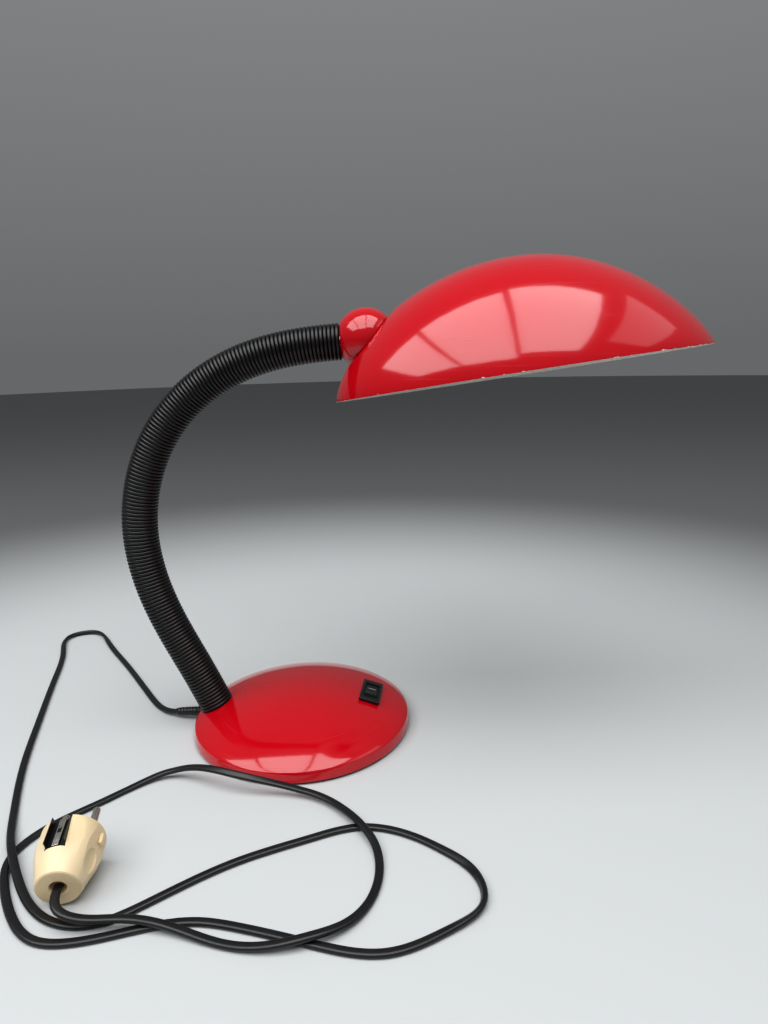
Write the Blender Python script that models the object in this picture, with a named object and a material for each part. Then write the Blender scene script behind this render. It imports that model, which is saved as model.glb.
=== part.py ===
"""Flexible gooseneck desk lamp: round weighted base, ribbed neck, oval shade
on a ball knuckle, flat mains cord with an earthed round plug.

Units are metres, +Z is up.  The origin is the middle of the underside of the
base, +X runs from the foot of the neck towards the front tip of the shade.
"""
import math

import bmesh
import bpy
import numpy as np
from mathutils import Matrix, Vector

for old in list(bpy.data.objects):
    bpy.data.objects.remove(old, do_unlink=True)

MM = 0.001
GAP = 0.3 * MM            # running clearance between neighbouring pieces
SKIN = 1.2 * MM           # pressed sheet thickness of the base cover

# ---------------------------------------------------------------- main sizes
BASE_R = 87.5 * MM        # radius of the base at its bottom edge
BASE_FLARE = 1.1 * MM     # the side wall leans in by this much
BASE_WALL_R = BASE_R - BASE_FLARE
BASE_WALL_Z = 9.5 * MM
BASE_TOP_Z = 31.9 * MM    # height in the middle of the dome
BASE_EDGE_Z = 1.8 * MM    # lower edge of the cover
PAD_R = 80.0 * MM         # foam pad glued under the plate
PAD_T = 1.3 * MM
PLATE_T = 1.0 * MM
WEIGHT_R = 72.0 * MM
WEIGHT_TOP_Z = 11.0 * MM

NECK_R = 13.25 * MM       # crest radius of the ribbed sleeve
RIB_DEPTH = 0.8 * MM
RIB_PITCH = 5.4 * MM      # two real ribs per modelled rib
NECK_FOOT_X = 70.2 * MM   # foot of the neck behind the middle of the base
NECK_SUNK = 0.5 * MM      # foot of the neck below the cover's surface
NECK_BALL_R = 11.5 * MM   # ball at the upper end of each link
NECK_SHOULDER = 3.7 * MM  # free length below each ball for the bend
NECK_FIRST = 34.0 * MM    # arc length of the first joint above the foot
NECK_JOINTS = 8
BOLT_R = 8.0 * MM
FERRULE_R = 8.6 * MM      # pressed into the upper end of the neck
FERRULE_LEN = 21.5 * MM

HEAD_BALL_R = 22.3 * MM   # knuckle
HEAD_FLAT = 18.2 * MM     # flat for the end of the neck, from the middle
HEAD_CAVITY_R = 17.6 * MM
HEAD_SEAT_R = 8.8 * MM    # spot face for the nut inside the knuckle
HEAD_SEAT_WALL = 1.6 * MM
CAP_ANGLE = math.radians(221.0)
CAP_R = 5.2 * MM          # round cap under the neck
CAP_OUT = 19.8 * MM       # its outer face, from the middle of the knuckle
THREAD_R = 4.8 * MM       # hollow threaded end of the neck
HEAD_C = Vector((61.5 * MM, 0.0, 305.8 * MM))
NECK_END_RISE = math.radians(4.0)
SHADE_RISE = math.radians(7.2)
SHADE_ROLL = math.radians(-4.5)
STUD_R = 4.0 * MM

SHADE_A = 136.45 * MM     # half length of the rim
SHADE_B = 88.0 * MM       # half width of the rim
SHADE_H = 82.0 * MM       # height of the shade over its rim
SHADE_T = 0.9 * MM        # sheet thickness of the shade
SHADE_BACK = 28.5 * MM    # knuckle centre ahead of the rear tip
SHADE_DROP = 41.6 * MM    # rim plane below the knuckle centre
POCKET_ROOM = 5.7 * MM    # air between the knuckle and its pocket
POCKET_R = HEAD_BALL_R + POCKET_ROOM
CHANNEL_ROOM = 2.15 * MM  # air round the neck in its groove
CHANNEL_R = NECK_R + CHANNEL_ROOM
GROOVE_ANGLE = math.radians(214.0)

SWITCH_X = 56.5 * MM
SWITCH_YAW = math.radians(-6.2)
SWITCH_HX = 8.4 * MM      # half of the bezel, short side
SWITCH_HY = 16.8 * MM     # half of the bezel, long side
ROCKER_HX = 5.4 * MM      # half of the rocker, short side
ROCKER_HY = 10.5 * MM     # half of the rocker, long side
ROCKER_SWING = math.radians(9.0)

HOLDER_Z = -13.0 * MM     # lamp holder axis below the knuckle centre
HOLDER_R = 19.5 * MM
BULB_R = 22.5 * MM

CORD_R = 2.6 * MM
PLUG_FRONT_R = 18.5 * MM
PLUG_REAR_R = 13.0 * MM
PLUG_LEN = 35.0 * MM

# ------------------------------------------------------------ small helpers
PARTS = bpy.data.collections.new("Gooseneck_Desk_Lamp")
CUTTERS = bpy.data.collections.new("Cutters")
bpy.context.scene.collection.children.link(PARTS)
bpy.context.scene.collection.children.link(CUTTERS)
_MATS = {}


def material(name, rgb, metallic=0.0, rough=0.5):
    """A plain Principled material, made once per name."""
    if name not in _MATS:
        mat = bpy.data.materials.new(name)
        mat.use_nodes = True
        bsdf = mat.node_tree.nodes["Principled BSDF"]
        bsdf.inputs["Base Color"].default_value = (*rgb, 1.0)
        bsdf.inputs["Metallic"].default_value = metallic
        bsdf.inputs["Roughness"].default_value = rough
        mat.diffuse_color = (*rgb, 1.0)
        _MATS[name] = mat
    return _MATS[name]


RED = material("red_enamel", (0.62, 0.01, 0.03), 0.0, 0.15)
BLACK = material("black_pvc", (0.015, 0.015, 0.016), 0.0, 0.45)
BLACK_HARD = material("black_moulding", (0.02, 0.02, 0.02), 0.0, 0.35)
STEEL = material("zinc_plated_steel", (0.60, 0.60, 0.58), 1.0, 0.35)
IRON = material("cast_iron", (0.13, 0.13, 0.14), 1.0, 0.7)
RUBBER = material("foam_rubber", (0.03, 0.03, 0.03), 0.0, 0.9)
BRASS = material("brass", (0.78, 0.58, 0.26), 1.0, 0.3)
NICKEL = material("nickel_plate", (0.72, 0.70, 0.66), 1.0, 0.25)
IVORY = material("ivory_moulding", (0.80, 0.76, 0.64), 0.0, 0.4)
GLASS = material("opal_glass", (0.90, 0.90, 0.87), 0.0, 0.2)
CERAMIC = material("white_moulding", (0.82, 0.82, 0.80), 0.0, 0.4)


def place(obj, mat, matrix, cutter=False):
    """Link an object, give it its material and its place."""
    if cutter:
        CUTTERS.objects.link(obj)
        obj.hide_render = True
        obj.display_type = 'WIRE'
    else:
        PARTS.objects.link(obj)
        obj.data.materials.append(mat)
    obj.matrix_world = matrix
    return obj


def body(name, rings, mat, matrix=None, loop=False, cutter=False, smooth=True):
    """One closed body from a list of rings; a ring of one point is a pole."""
    bm = bmesh.new()
    rows = [[bm.verts.new(p) for p in ring] for ring in rings]
    pairs = list(zip(rows, rows[1:]))
    if loop:
        pairs.append((rows[-1], rows[0]))
    for a, b in pairs:
        n = max(len(a), len(b))
        if n == 1:
            continue
        for i in range(n):
            j = (i + 1) % n
            if len(a) == 1:
                bm.faces.new((a[0], b[i], b[j]))
            elif len(b) == 1:
                bm.faces.new((a[i], b[0], a[j]))
            else:
                bm.faces.new((a[i], b[i], b[j], a[j]))
    if not loop:
        for end in (rows[0], rows[-1]):
            if len(end) > 1:
                bm.faces.new(end)
    bmesh.ops.recalc_face_normals(bm, faces=bm.faces[:])
    if bm.calc_volume(signed=True) < 0:
        bmesh.ops.reverse_faces(bm, faces=bm.faces[:])
    for face in bm.faces:
        face.smooth = smooth and len(face.verts) <= 4
    mesh = bpy.data.meshes.new(name)
    bm.to_mesh(mesh)
    bm.free()
    return place(bpy.data.objects.new(name, mesh), mat,
                 matrix or Matrix.Identity(4), cutter)


def circle(r, z, seg, turn=0.0):
    """A ring about the local Z axis."""
    if r <= 1e-7:
        return [Vector((0.0, 0.0, z))]
    return [Vector((r * math.cos(turn + 2 * math.pi * i / seg),
                    r * math.sin(turn + 2 * math.pi * i / seg), z))
            for i in range(seg)]


def lathe(name, profile, mat, matrix=None, seg=32, loop=False, cutter=False,
          turn=0.0, smooth=True):
    """Turned body from (radius, height) pairs about the local Z axis."""
    return body(name, [circle(r, z, seg, turn) for r, z in profile], mat,
                matrix, loop, cutter, smooth)


def hex_nut(name, bore, across, lo, hi, mat, matrix):
    """Hexagon nut with a round bore; 'across' is the corner radius."""
    def flats(z):
        return [Vector((k * math.cos(math.pi * i / 6),
                        k * math.sin(math.pi * i / 6), z))
                for i in range(12)
                for k in (across * (1.0 if i % 2 == 0 else math.cos(math.pi / 6)),)]
    return body(name, [circle(bore, lo, 12), flats(lo), flats(hi),
                       circle(bore, hi, 12)], mat, matrix, loop=True,
                smooth=False)


def block(name, lo, hi, mat, matrix=None, cutter=False):
    """A box between two corners."""
    rect = [(lo[0], lo[1]), (hi[0], lo[1]), (hi[0], hi[1]), (lo[0], hi[1])]
    return body(name, [[Vector((x, y, z)) for x, y in rect]
                       for z in (lo[2], hi[2])], mat, matrix, cutter=cutter,
                smooth=False)


def cut(target, cutter):
    """Exact difference."""
    mod = target.modifiers.new("Cut_" + cutter.name, 'BOOLEAN')
    mod.operation = 'DIFFERENCE'
    mod.solver = 'EXACT'
    mod.object = cutter
    return target


def aim(origin, direction, side=(0.0, 1.0, 0.0)):
    """Matrix with local Z along a direction and local Y near 'side'."""
    z = Vector(direction).normalized()
    y = Vector(side)
    y = (y - z * y.dot(z)).normalized()
    x = y.cross(z)
    m = Matrix((x, y, z)).transposed().to_4x4()
    m.translation = Vector(origin)
    return m


# ------------------------------------------------------- shape of the base
def dome_z(r, grow=0.0):
    """Height of the outside of the cover at a radius."""
    u = min(max(r / (BASE_WALL_R + grow), 0.0), 1.0)
    return (BASE_WALL_Z + (BASE_TOP_Z + grow - BASE_WALL_Z)
            * (1.0 - u * u) ** 0.8)


def cover_profile(grow, steps=12):
    """Pole at the top, over the shoulder, down to the lower edge."""
    pts = []
    for i in range(steps):
        r = (BASE_WALL_R + grow) * math.sin(0.5 * math.pi * i / (steps - 1))
        pts.append((r, dome_z(r, grow)))
    pts.append((BASE_R + grow, BASE_EDGE_Z))
    return pts


# --------------------------------------------------- centre line of the neck
NECK_POINTS = [(-NECK_FOOT_X / MM, (dome_z(NECK_FOOT_X) - NECK_SUNK) / MM),
               (-85.0, 53.0), (-99.5, 85.5), (-112.0, 122.0),
               (-117.4, 165.0), (-108.0, 214.0), (-81.5, 257.0),
               (-36.5, 288.6), (5.0, 300.6)]


def natural_spline(points, count):
    """Cubic through the points, natural ends, by chord length."""
    pts = np.array(points, float)
    t = np.concatenate([[0.0], np.cumsum(np.linalg.norm(np.diff(pts, axis=0),
                                                        axis=1))])
    n = len(pts)
    h = np.diff(t)
    a = np.zeros((n, n))
    rhs = np.zeros(pts.shape)
    a[0, 0] = a[-1, -1] = 1.0
    for i in range(1, n - 1):
        a[i, i - 1], a[i, i], a[i, i + 1] = h[i - 1], 2 * (h[i - 1] + h[i]), h[i]
        rhs[i] = 6 * ((pts[i + 1] - pts[i]) / h[i]
                      - (pts[i] - pts[i - 1]) / h[i - 1])
    m = np.linalg.solve(a, rhs)
    out = []
    for u in np.linspace(0.0, t[-1], count):
        i = min(np.searchsorted(t, u, side="right") - 1, n - 2)
        lo, hi = t[i + 1] - u, u - t[i]
        out.append(m[i] * lo ** 3 / (6 * h[i]) + m[i + 1] * hi ** 3 / (6 * h[i])
                   + (pts[i] / h[i] - m[i] * h[i] / 6) * lo
                   + (pts[i + 1] / h[i] - m[i + 1] * h[i] / 6) * hi)
    return np.array(out)


END_DIR = Vector((math.cos(NECK_END_RISE), 0.0, math.sin(NECK_END_RISE)))
NECK_REACH = HEAD_FLAT + 2 * GAP      # neck end to knuckle centre
NECK_END = HEAD_C - END_DIR * NECK_REACH
_line = natural_spline(
    [(x * MM, z * MM) for x, z in NECK_POINTS]
    + [(NECK_END.x - 12 * MM * END_DIR.x, NECK_END.z - 12 * MM * END_DIR.z),
       (NECK_END.x, NECK_END.z)], 1200)
_arc = np.concatenate([[0.0], np.cumsum(np.linalg.norm(np.diff(_line, axis=0),
                                                       axis=1))])
NECK_LEN = float(_arc[-1])


def neck_at(s):
    """Point, tangent and in-plane normal at an arc length (may run past)."""
    q = min(max(s, 0.0), NECK_LEN)
    d = 0.5 * MM
    lo, hi = max(q - d, 0.0), min(q + d, NECK_LEN)
    p = [np.interp(v, _arc, _line[:, k]) for v in (q, lo, hi) for k in (0, 1)]
    t = Vector((p[4] - p[2], 0.0, p[5] - p[3])).normalized()
    if q >= NECK_LEN:
        t = END_DIR.copy()
    point = Vector((p[0], 0.0, p[1])) + t * (s - q)
    return point, t, Vector((-t.z, 0.0, t.x))


def neck_ring(s, r, seg):
    """A ring across the neck."""
    p, _, n = neck_at(s)
    if r <= 1e-7:
        return [p]
    return [p + n * (r * math.cos(2 * math.pi * i / seg))
            + Vector((0, r * math.sin(2 * math.pi * i / seg), 0))
            for i in range(seg)]


def joint_ring(s, along, r, seg):
    """A ring about the straight axis through a joint centre."""
    p, t, n = neck_at(s)
    p = p + t * along
    if r <= 1e-7:
        return [p]
    return [p + n * (r * math.cos(2 * math.pi * i / seg))
            + Vector((0, r * math.sin(2 * math.pi * i / seg), 0))
            for i in range(seg)]


JOINT_STEP = (NECK_LEN - NECK_FIRST - 46.0 * MM) / (NECK_JOINTS - 1)
JOINT_S = [NECK_FIRST + JOINT_STEP * i for i in range(NECK_JOINTS)]


def neck_link(index, seg=14):
    """One rigid link of the flexible neck: cup below, ball above."""
    rings = []
    cup = NECK_BALL_R + GAP
    if index == 0:
        start = -6.0 * MM
        rings.append(neck_ring(18.0 * MM, 0.0, seg))
        rings.append(neck_ring(18.0 * MM, BOLT_R + GAP, seg))
        rings.append(neck_ring(start, BOLT_R + GAP, seg))
    else:
        start = JOINT_S[index - 1]
        for k in range(5):
            ang = 0.5 * math.pi * k / 4
            rings.append(joint_ring(start, cup * math.cos(ang),
                                    cup * math.sin(ang), seg))
    last = index == NECK_JOINTS
    stop = NECK_LEN if last else JOINT_S[index] - NECK_SHOULDER
    count = max(2, round((stop - start) / RIB_PITCH))
    for k in range(2 * count + 1):
        r = NECK_R - (RIB_DEPTH if k % 2 else 0.0)
        rings.append(neck_ring(start + (stop - start) * k / (2 * count), r,
                               seg))
    if last:
        back = -FERRULE_LEN - 2 * GAP
        for along, r in ((0.0, FERRULE_R + 2 * GAP),
                         (back, FERRULE_R + 2 * GAP), (back, 0.0)):
            rings.append(joint_ring(NECK_LEN, along, r, seg))
    else:
        a0 = math.acos(-NECK_SHOULDER / NECK_BALL_R)
        for k in range(6):
            ang = a0 * (1.0 - k / 5)
            rings.append(joint_ring(JOINT_S[index],
                                    NECK_BALL_R * math.cos(ang),
                                    NECK_BALL_R * math.sin(ang), seg))
    obj = body("neck_link_%d" % index, rings, BLACK)
    if index:
        pivot = neck_at(start)[0]
        obj.data.transform(Matrix.Translation(-pivot))
        obj.location = pivot
    return obj


# ------------------------------------------------------------ base assembly
root_p, root_t, root_n = neck_at(0.0)
ROOT = aim(root_p, root_t)
slope = (dome_z(SWITCH_X - 2 * MM) - dome_z(SWITCH_X + 2 * MM)) / (4 * MM)
SWITCH = (Matrix.Translation((SWITCH_X, 0.0, dome_z(SWITCH_X)))
          @ Matrix.Rotation(math.atan(slope), 4, 'Y')
          @ Matrix.Rotation(SWITCH_YAW, 4, 'Z'))
EXIT_AZ = math.radians(175.0)
EXIT_DIR = Vector((math.cos(EXIT_AZ), math.sin(EXIT_AZ), 0.0))
EXIT_Z = 7.4 * MM
EXIT_P = EXIT_DIR * (BASE_WALL_R + 0.2 * MM) + Vector((0, 0, EXIT_Z))
EXIT = aim(EXIT_P, EXIT_DIR, (0, 0, 1))
SCREW_SPOTS = [(42.0 * MM * math.cos(math.radians(a)),
                42.0 * MM * math.sin(math.radians(a))) for a in (57, 177, 297)]

PLATE_Z = PAD_T + GAP
WEIGHT_Z = PLATE_Z + PLATE_T + GAP

outer = cover_profile(0.0)
inner = [(r, z) for r, z in cover_profile(-SKIN)]
inner[-1] = (BASE_R - SKIN, BASE_EDGE_Z)
cover = lathe("base_cover", outer + inner[::-1], RED, seg=40)

cut_root = lathe("cut_root_bolt", [(0, -25 * MM), (BOLT_R + GAP, -25 * MM),
                                   (BOLT_R + GAP, 12 * MM), (0, 12 * MM)],
                 None, ROOT, 24, cutter=True)
cut_exit = lathe("cut_exit", [(0, -9 * MM), (4.1 * MM, -9 * MM),
                              (4.1 * MM, 6 * MM), (0, 6 * MM)], None, EXIT, 20,
                 cutter=True)
body_hx, body_hy = SWITCH_HX - 1.5 * MM, SWITCH_HY - 2.0 * MM
cut_switch = block("cut_switch", (-body_hx - GAP, -body_hy - GAP, -9 * MM),
                   (body_hx + GAP, body_hy + GAP, 9 * MM), None, SWITCH, True)
for tool in (cut_root, cut_exit, cut_switch):
    cut(cover, tool)

PLATE_R = BASE_R - SKIN - 4 * GAP
plate = lathe("base_plate", [(0, PLATE_Z), (PLATE_R, PLATE_Z),
                             (PLATE_R, PLATE_Z + PLATE_T),
                             (0, PLATE_Z + PLATE_T)], STEEL, seg=40)
weight = lathe("base_weight",
               [(0, WEIGHT_Z), (WEIGHT_R, WEIGHT_Z),
                (WEIGHT_R, WEIGHT_TOP_Z - 2 * MM),
                (WEIGHT_R - 2 * MM, WEIGHT_TOP_Z), (0, WEIGHT_TOP_Z)],
               IRON, seg=40)
cut_neck_well = lathe("cut_neck_well",
                      [(0, -25 * MM), (15 * MM, -25 * MM),
                       (15 * MM, 12 * MM), (0, 12 * MM)], None, ROOT, 20,
                      cutter=True)
cut_switch_well = block("cut_switch_well",
                        (-SWITCH_HX - 1 * MM, -SWITCH_HY - 1 * MM, -40 * MM),
                        (SWITCH_HX + 1 * MM, SWITCH_HY + 1 * MM, 9 * MM),
                        None, SWITCH, True)
cut(weight, cut_neck_well)
cut(weight, cut_switch_well)
pad = lathe("base_pad", [(0, 0), (PAD_R, 0), (PAD_R, PAD_T), (0, PAD_T)],
            RUBBER, seg=40, smooth=False)
for k, (sx, sy) in enumerate(SCREW_SPOTS):
    spot = Matrix.Translation((sx, sy, 0.0))
    cut(pad, lathe("cut_pad_%d" % (k + 1),
                   [(0, -2 * MM), (5 * MM, -2 * MM), (5 * MM, 3 * MM),
                    (0, 3 * MM)], None, spot, 16, cutter=True, turn=0.17))
    lathe("base_screw_%d" % (k + 1),
          [(0, 0.3 * MM), (3.6 * MM, 0.3 * MM), (3.8 * MM, PLATE_Z - GAP),
           (1.9 * MM, PLATE_Z - GAP), (1.9 * MM, 9 * MM), (0, 9.5 * MM)],
          STEEL, spot, 14)
    tool = lathe("cut_screw_%d" % (k + 1),
                 [(0, -2 * MM), (1.9 * MM + GAP, -2 * MM),
                  (1.9 * MM + GAP, 10 * MM), (0, 10 * MM)], None, spot, 14,
                 cutter=True, turn=0.17)
    cut(plate, tool)
    cut(weight, tool)

# foot of the neck: hollow bolt, washer and nut under the cover
lathe("neck_root_bolt", [(0, -12 * MM), (BOLT_R, -12 * MM),
                         (BOLT_R, 17.5 * MM), (0, 17.5 * MM)], STEEL, ROOT, 20)
lathe("neck_root_washer", [(BOLT_R + GAP, -5.2 * MM), (11 * MM, -5.2 * MM),
                           (11 * MM, -4.2 * MM), (BOLT_R + GAP, -4.2 * MM)],
      STEEL, ROOT, 20, loop=True, smooth=False)
hex_nut("neck_root_nut", BOLT_R + 1.5 * GAP, 12.6 * MM, -10.4 * MM, -5.5 * MM,
        STEEL, ROOT)

# grommet and cord grip
lathe("cord_grommet", [(CORD_R + GAP, -5.2 * MM), (4.4 * MM, -5.2 * MM),
                       (4.4 * MM, -4.3 * MM), (3.8 * MM, -4.3 * MM),
                       (3.8 * MM, 1.4 * MM), (5.0 * MM, 1.4 * MM),
                       (4.6 * MM, 2.8 * MM), (CORD_R + GAP, 3.6 * MM)],
      BLACK, EXIT, 20, loop=True)
block("cord_grip", (-52 * MM, 22 * MM, WEIGHT_TOP_Z + GAP),
      (-36 * MM, 31 * MM, WEIGHT_TOP_Z + 4.5 * MM), BLACK_HARD)
block("terminal_block", (-14 * MM, -36 * MM, WEIGHT_TOP_Z + GAP),
      (14 * MM, -20 * MM, WEIGHT_TOP_Z + 8.0 * MM), CERAMIC)

# rocker switch in a rectangular bezel
well = 0.5 * MM           # air round the rocker
sw_rings = []
for hx, hy, z in ((body_hx, body_hy, -12.5), (body_hx, body_hy, 0.35),
                  (SWITCH_HX, SWITCH_HY, 0.35), (SWITCH_HX, SWITCH_HY, 1.9),
                  (SWITCH_HX - 0.7 * MM, SWITCH_HY - 0.7 * MM, 2.6),
                  (ROCKER_HX + well, ROCKER_HY + well, 2.6),
                  (ROCKER_HX + well, ROCKER_HY + well, -8.5)):
    sw_rings.append([Vector((sx * hx, sy * hy, z * MM))
                     for sx, sy in ((1, 1), (-1, 1), (-1, -1), (1, -1))])
body("switch_housing", sw_rings, BLACK_HARD, SWITCH, smooth=False)
ROCKER_PIVOT = 0.4 * MM
profile = [(-ROCKER_HY, 2.9), (-ROCKER_HY * 0.5, 2.0), (0.0, 1.7),
           (ROCKER_HY * 0.5, 2.0), (ROCKER_HY, 2.9), (ROCKER_HY, -0.4),
           (ROCKER_HY * 0.7, -3.6), (0.0, -6.0), (-ROCKER_HY * 0.7, -3.6),
           (-ROCKER_HY, -0.4)]
body("switch_rocker",
     [[Vector((x, y, z * MM)) for y, z in profile]
      for x in (-ROCKER_HX, ROCKER_HX)], BLACK_HARD,
     SWITCH @ Matrix.Translation((0, 0, ROCKER_PIVOT))
     @ Matrix.Rotation(-ROCKER_SWING, 4, 'X'), smooth=False)
for k, ty in enumerate((-7.0 * MM, 7.0 * MM)):
    block("switch_terminal_%d" % (k + 1), (-0.4 * MM, ty - 2.4 * MM, -17.4 * MM),
          (0.4 * MM, ty + 2.4 * MM, -12.5 * MM - GAP), BRASS, SWITCH)

# ---------------------------------------------------------------- the neck
links = [neck_link(i) for i in range(NECK_JOINTS + 1)]
cut_cover_solid = lathe("cut_cover_solid",
                        cover_profile(GAP) + [(0, BASE_EDGE_Z)], None, seg=48,
                        cutter=True)
cut(links[0], cut_cover_solid)

NECK_TOP = aim(HEAD_C, END_DIR)         # local Z runs out of the neck
seat = -HEAD_FLAT + HEAD_SEAT_WALL      # inner face that the nut presses on
nut_top = seat + GAP + 3.2 * MM
lathe("neck_end_ferrule",
      [(0, -NECK_REACH - FERRULE_LEN), (FERRULE_R, -NECK_REACH - FERRULE_LEN),
       (FERRULE_R, -NECK_REACH - GAP), (THREAD_R, -NECK_REACH - GAP),
       (THREAD_R, nut_top + 0.4 * MM), (0, nut_top + 0.4 * MM)], STEEL,
      NECK_TOP, 20)
hex_nut("neck_end_nut", THREAD_R + 1.5 * GAP, HEAD_SEAT_R - 2 * GAP,
        seat + GAP, nut_top, STEEL, NECK_TOP)

# ------------------------------------------------------- knuckle under shade
BALL = (Matrix.Translation(HEAD_C)
        @ Matrix.Rotation(-NECK_END_RISE, 4, 'Y')
        @ Matrix.Rotation(SHADE_ROLL, 4, 'X'))
HEAD = BALL @ Matrix.Rotation(NECK_END_RISE - SHADE_RISE, 4, 'Y')


def ball_ring(x, r, seg=26):
    """A ring about the knuckle's own X axis."""
    if r <= 1e-7:
        return [Vector((x, 0, 0))]
    return [Vector((x, r * math.cos(2 * math.pi * i / seg),
                    r * math.sin(2 * math.pi * i / seg)))
            for i in range(seg)]


hole = THREAD_R + 2 * GAP
ball_rings = [ball_ring(-HEAD_FLAT, hole)]
a_out = math.acos(HEAD_FLAT / HEAD_BALL_R)
a_in = math.asin(HEAD_SEAT_R / HEAD_CAVITY_R)
for k in range(15):
    a = a_out + (math.pi - a_out) * k / 14
    ball_rings.append(ball_ring(-HEAD_BALL_R * math.cos(a),
                                HEAD_BALL_R * math.sin(a) if k < 14 else 0.0))
for k in range(13):
    a = math.pi - (math.pi - a_in) * k / 12
    ball_rings.append(ball_ring(-HEAD_CAVITY_R * math.cos(a),
                                HEAD_CAVITY_R * math.sin(a) if k else 0.0))
ball_rings.append(ball_ring(seat, HEAD_SEAT_R))
ball_rings.append(ball_ring(seat, hole))
knuckle = body("knuckle_ball", ball_rings, RED, BALL, loop=True)
cut_slot = block("cut_slot", (8 * MM, -STUD_R - 0.7 * MM, -17.8 * MM),
                 (30 * MM, STUD_R + 0.7 * MM, 16.4 * MM), None, BALL, True)
cut(knuckle, cut_slot)

cap_dir = Vector((math.cos(CAP_ANGLE), 0.0, math.sin(CAP_ANGLE)))
CAP = BALL @ aim((0, 0, 0), cap_dir)
cut_cap = lathe("cut_cap", [(0, 10 * MM), (CAP_R + GAP, 10 * MM),
                            (CAP_R + GAP, 30 * MM), (0, 30 * MM)], None, CAP,
                24, cutter=True)
cut(knuckle, cut_cap)
cap_in = HEAD_CAVITY_R + 2 * GAP
lathe("knuckle_cap", [(0, cap_in), (CAP_R, cap_in),
                      (CAP_R, CAP_OUT - 0.5 * MM),
                      (CAP_R - 0.5 * MM, CAP_OUT), (0, CAP_OUT)], RED, CAP, 24)

ball_r = HEAD_CAVITY_R - 0.4 * MM
flat = -5.0 * MM
core = [(0, 8 * MM), (10 * MM, 8 * MM), (12 * MM, 6 * MM), (12 * MM, flat)]
a0 = math.acos(-flat / ball_r)
a1 = math.asin(STUD_R / ball_r)
for k in range(10):
    a = a0 + (math.pi - a1 - a0) * k / 9
    core.append((ball_r * math.sin(a), -ball_r * math.cos(a)))
core += [(STUD_R, 40.4 * MM), (STUD_R - 0.6 * MM, 41 * MM), (0, 41 * MM)]
lathe("tilt_ball", core, BRASS, HEAD @ aim((0, 0, 0), (1, 0, 0)), 24)


# ---------------------------------------------------------------- the shade
RIM_CX = SHADE_A - SHADE_BACK
SHADE_ROWS, SHADE_COLS = 16, 44


def shade_point(rho, ang, inset=0.0):
    """Domed surface of the shade from a plan radius (0..1) and plan angle."""
    xi, eta = rho * math.cos(ang), rho * math.sin(ang)
    q = 0.7175 + 0.0575 * math.sin(0.5 * math.pi * xi)
    h = (SHADE_H - inset) * max(1.0 - rho * rho, 0.0) ** q
    return Vector((RIM_CX + (SHADE_A - inset) * xi, (SHADE_B - inset) * eta,
                   h - SHADE_DROP))


def shade_solid(name, inset, below, cutter):
    """The dome as a solid, closed a little way below its rim plane."""
    rings = [[shade_point(0.0, 0.0, inset)]]
    for i in range(1, SHADE_ROWS + 1):
        rho = math.sin(0.5 * math.pi * i / SHADE_ROWS)
        rings.append([shade_point(rho, 2 * math.pi * j / SHADE_COLS, inset)
                      for j in range(SHADE_COLS)])
    if below:
        rings.append([p - Vector((0, 0, below)) for p in rings[-1]])
    floor = -SHADE_DROP - below
    rings.append([Vector((RIM_CX, 0, floor))])
    return body(name, rings, None if cutter else RED, HEAD, cutter=cutter)


def pocket_tools(tag, grow, seg):
    """Ball pocket and neck groove, grown by a wall thickness."""
    r = POCKET_R + grow
    ball = [(r * math.sin(math.pi * k / 14) if 0 < k < 14 else 0.0,
             -r * math.cos(math.pi * k / 14)) for k in range(15)]
    tools = [lathe("cut_pocket_" + tag, ball, None, HEAD, seg, cutter=True)]
    g = CHANNEL_R + grow
    way = Vector((math.cos(GROOVE_ANGLE), 0.0, math.sin(GROOVE_ANGLE)))
    tools.append(lathe("cut_groove_" + tag,
                       [(0, -4 * MM), (g, -4 * MM), (g, 80 * MM), (0, 80 * MM)],
                       None, HEAD @ aim((0, 0, 0), way), seg - 2, cutter=True))
    return tools


shade = shade_solid("shade", 0.0, 0.0, False)
hollow = shade_solid("cut_hollow", SHADE_T, 6 * MM, True)
for tool in pocket_tools("outside", 0.0, 26):
    cut(shade, tool)
for tool in pocket_tools("inside", SHADE_T, 26):
    cut(hollow, tool)
cut(shade, hollow)
cut_stud = lathe("cut_stud", [(0, 22 * MM), (STUD_R + 0.5 * MM, 22 * MM),
                              (STUD_R + 0.5 * MM, 36 * MM), (0, 36 * MM)],
                 None, HEAD @ aim((0, 0, 0), (1, 0, 0)), 16, cutter=True)
cut(shade, cut_stud)

# clamp stack on the stud, bracket and lamp holder inside the shade
ALONG = HEAD @ aim((0, 0, 0), (1, 0, 0))
wall = POCKET_R + SHADE_T
z0 = wall + 0.7 * MM
lathe("tilt_washer", [(STUD_R + GAP, z0), (7.5 * MM, z0),
                      (7.5 * MM, z0 + 1.5 * MM),
                      (STUD_R + GAP, z0 + 1.5 * MM)], STEEL, ALONG, 24,
      loop=True, smooth=False)
z1 = z0 + 1.5 * MM + GAP
bracket = block("holder_bracket", (z1, -9 * MM, HOLDER_Z - 9 * MM),
                (z1 + 1.5 * MM, 9 * MM, 9 * MM), STEEL, HEAD)
NIPPLE_R = 5.0 * MM
LAMP = HEAD @ aim((0, 0, HOLDER_Z), (1, 0, 0))
cut_bracket_stud = lathe("cut_bracket_stud",
                         [(0, z1 - 2 * MM), (STUD_R + GAP, z1 - 2 * MM),
                          (STUD_R + GAP, z1 + 4 * MM), (0, z1 + 4 * MM)], None,
                         ALONG, 16, cutter=True)
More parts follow.
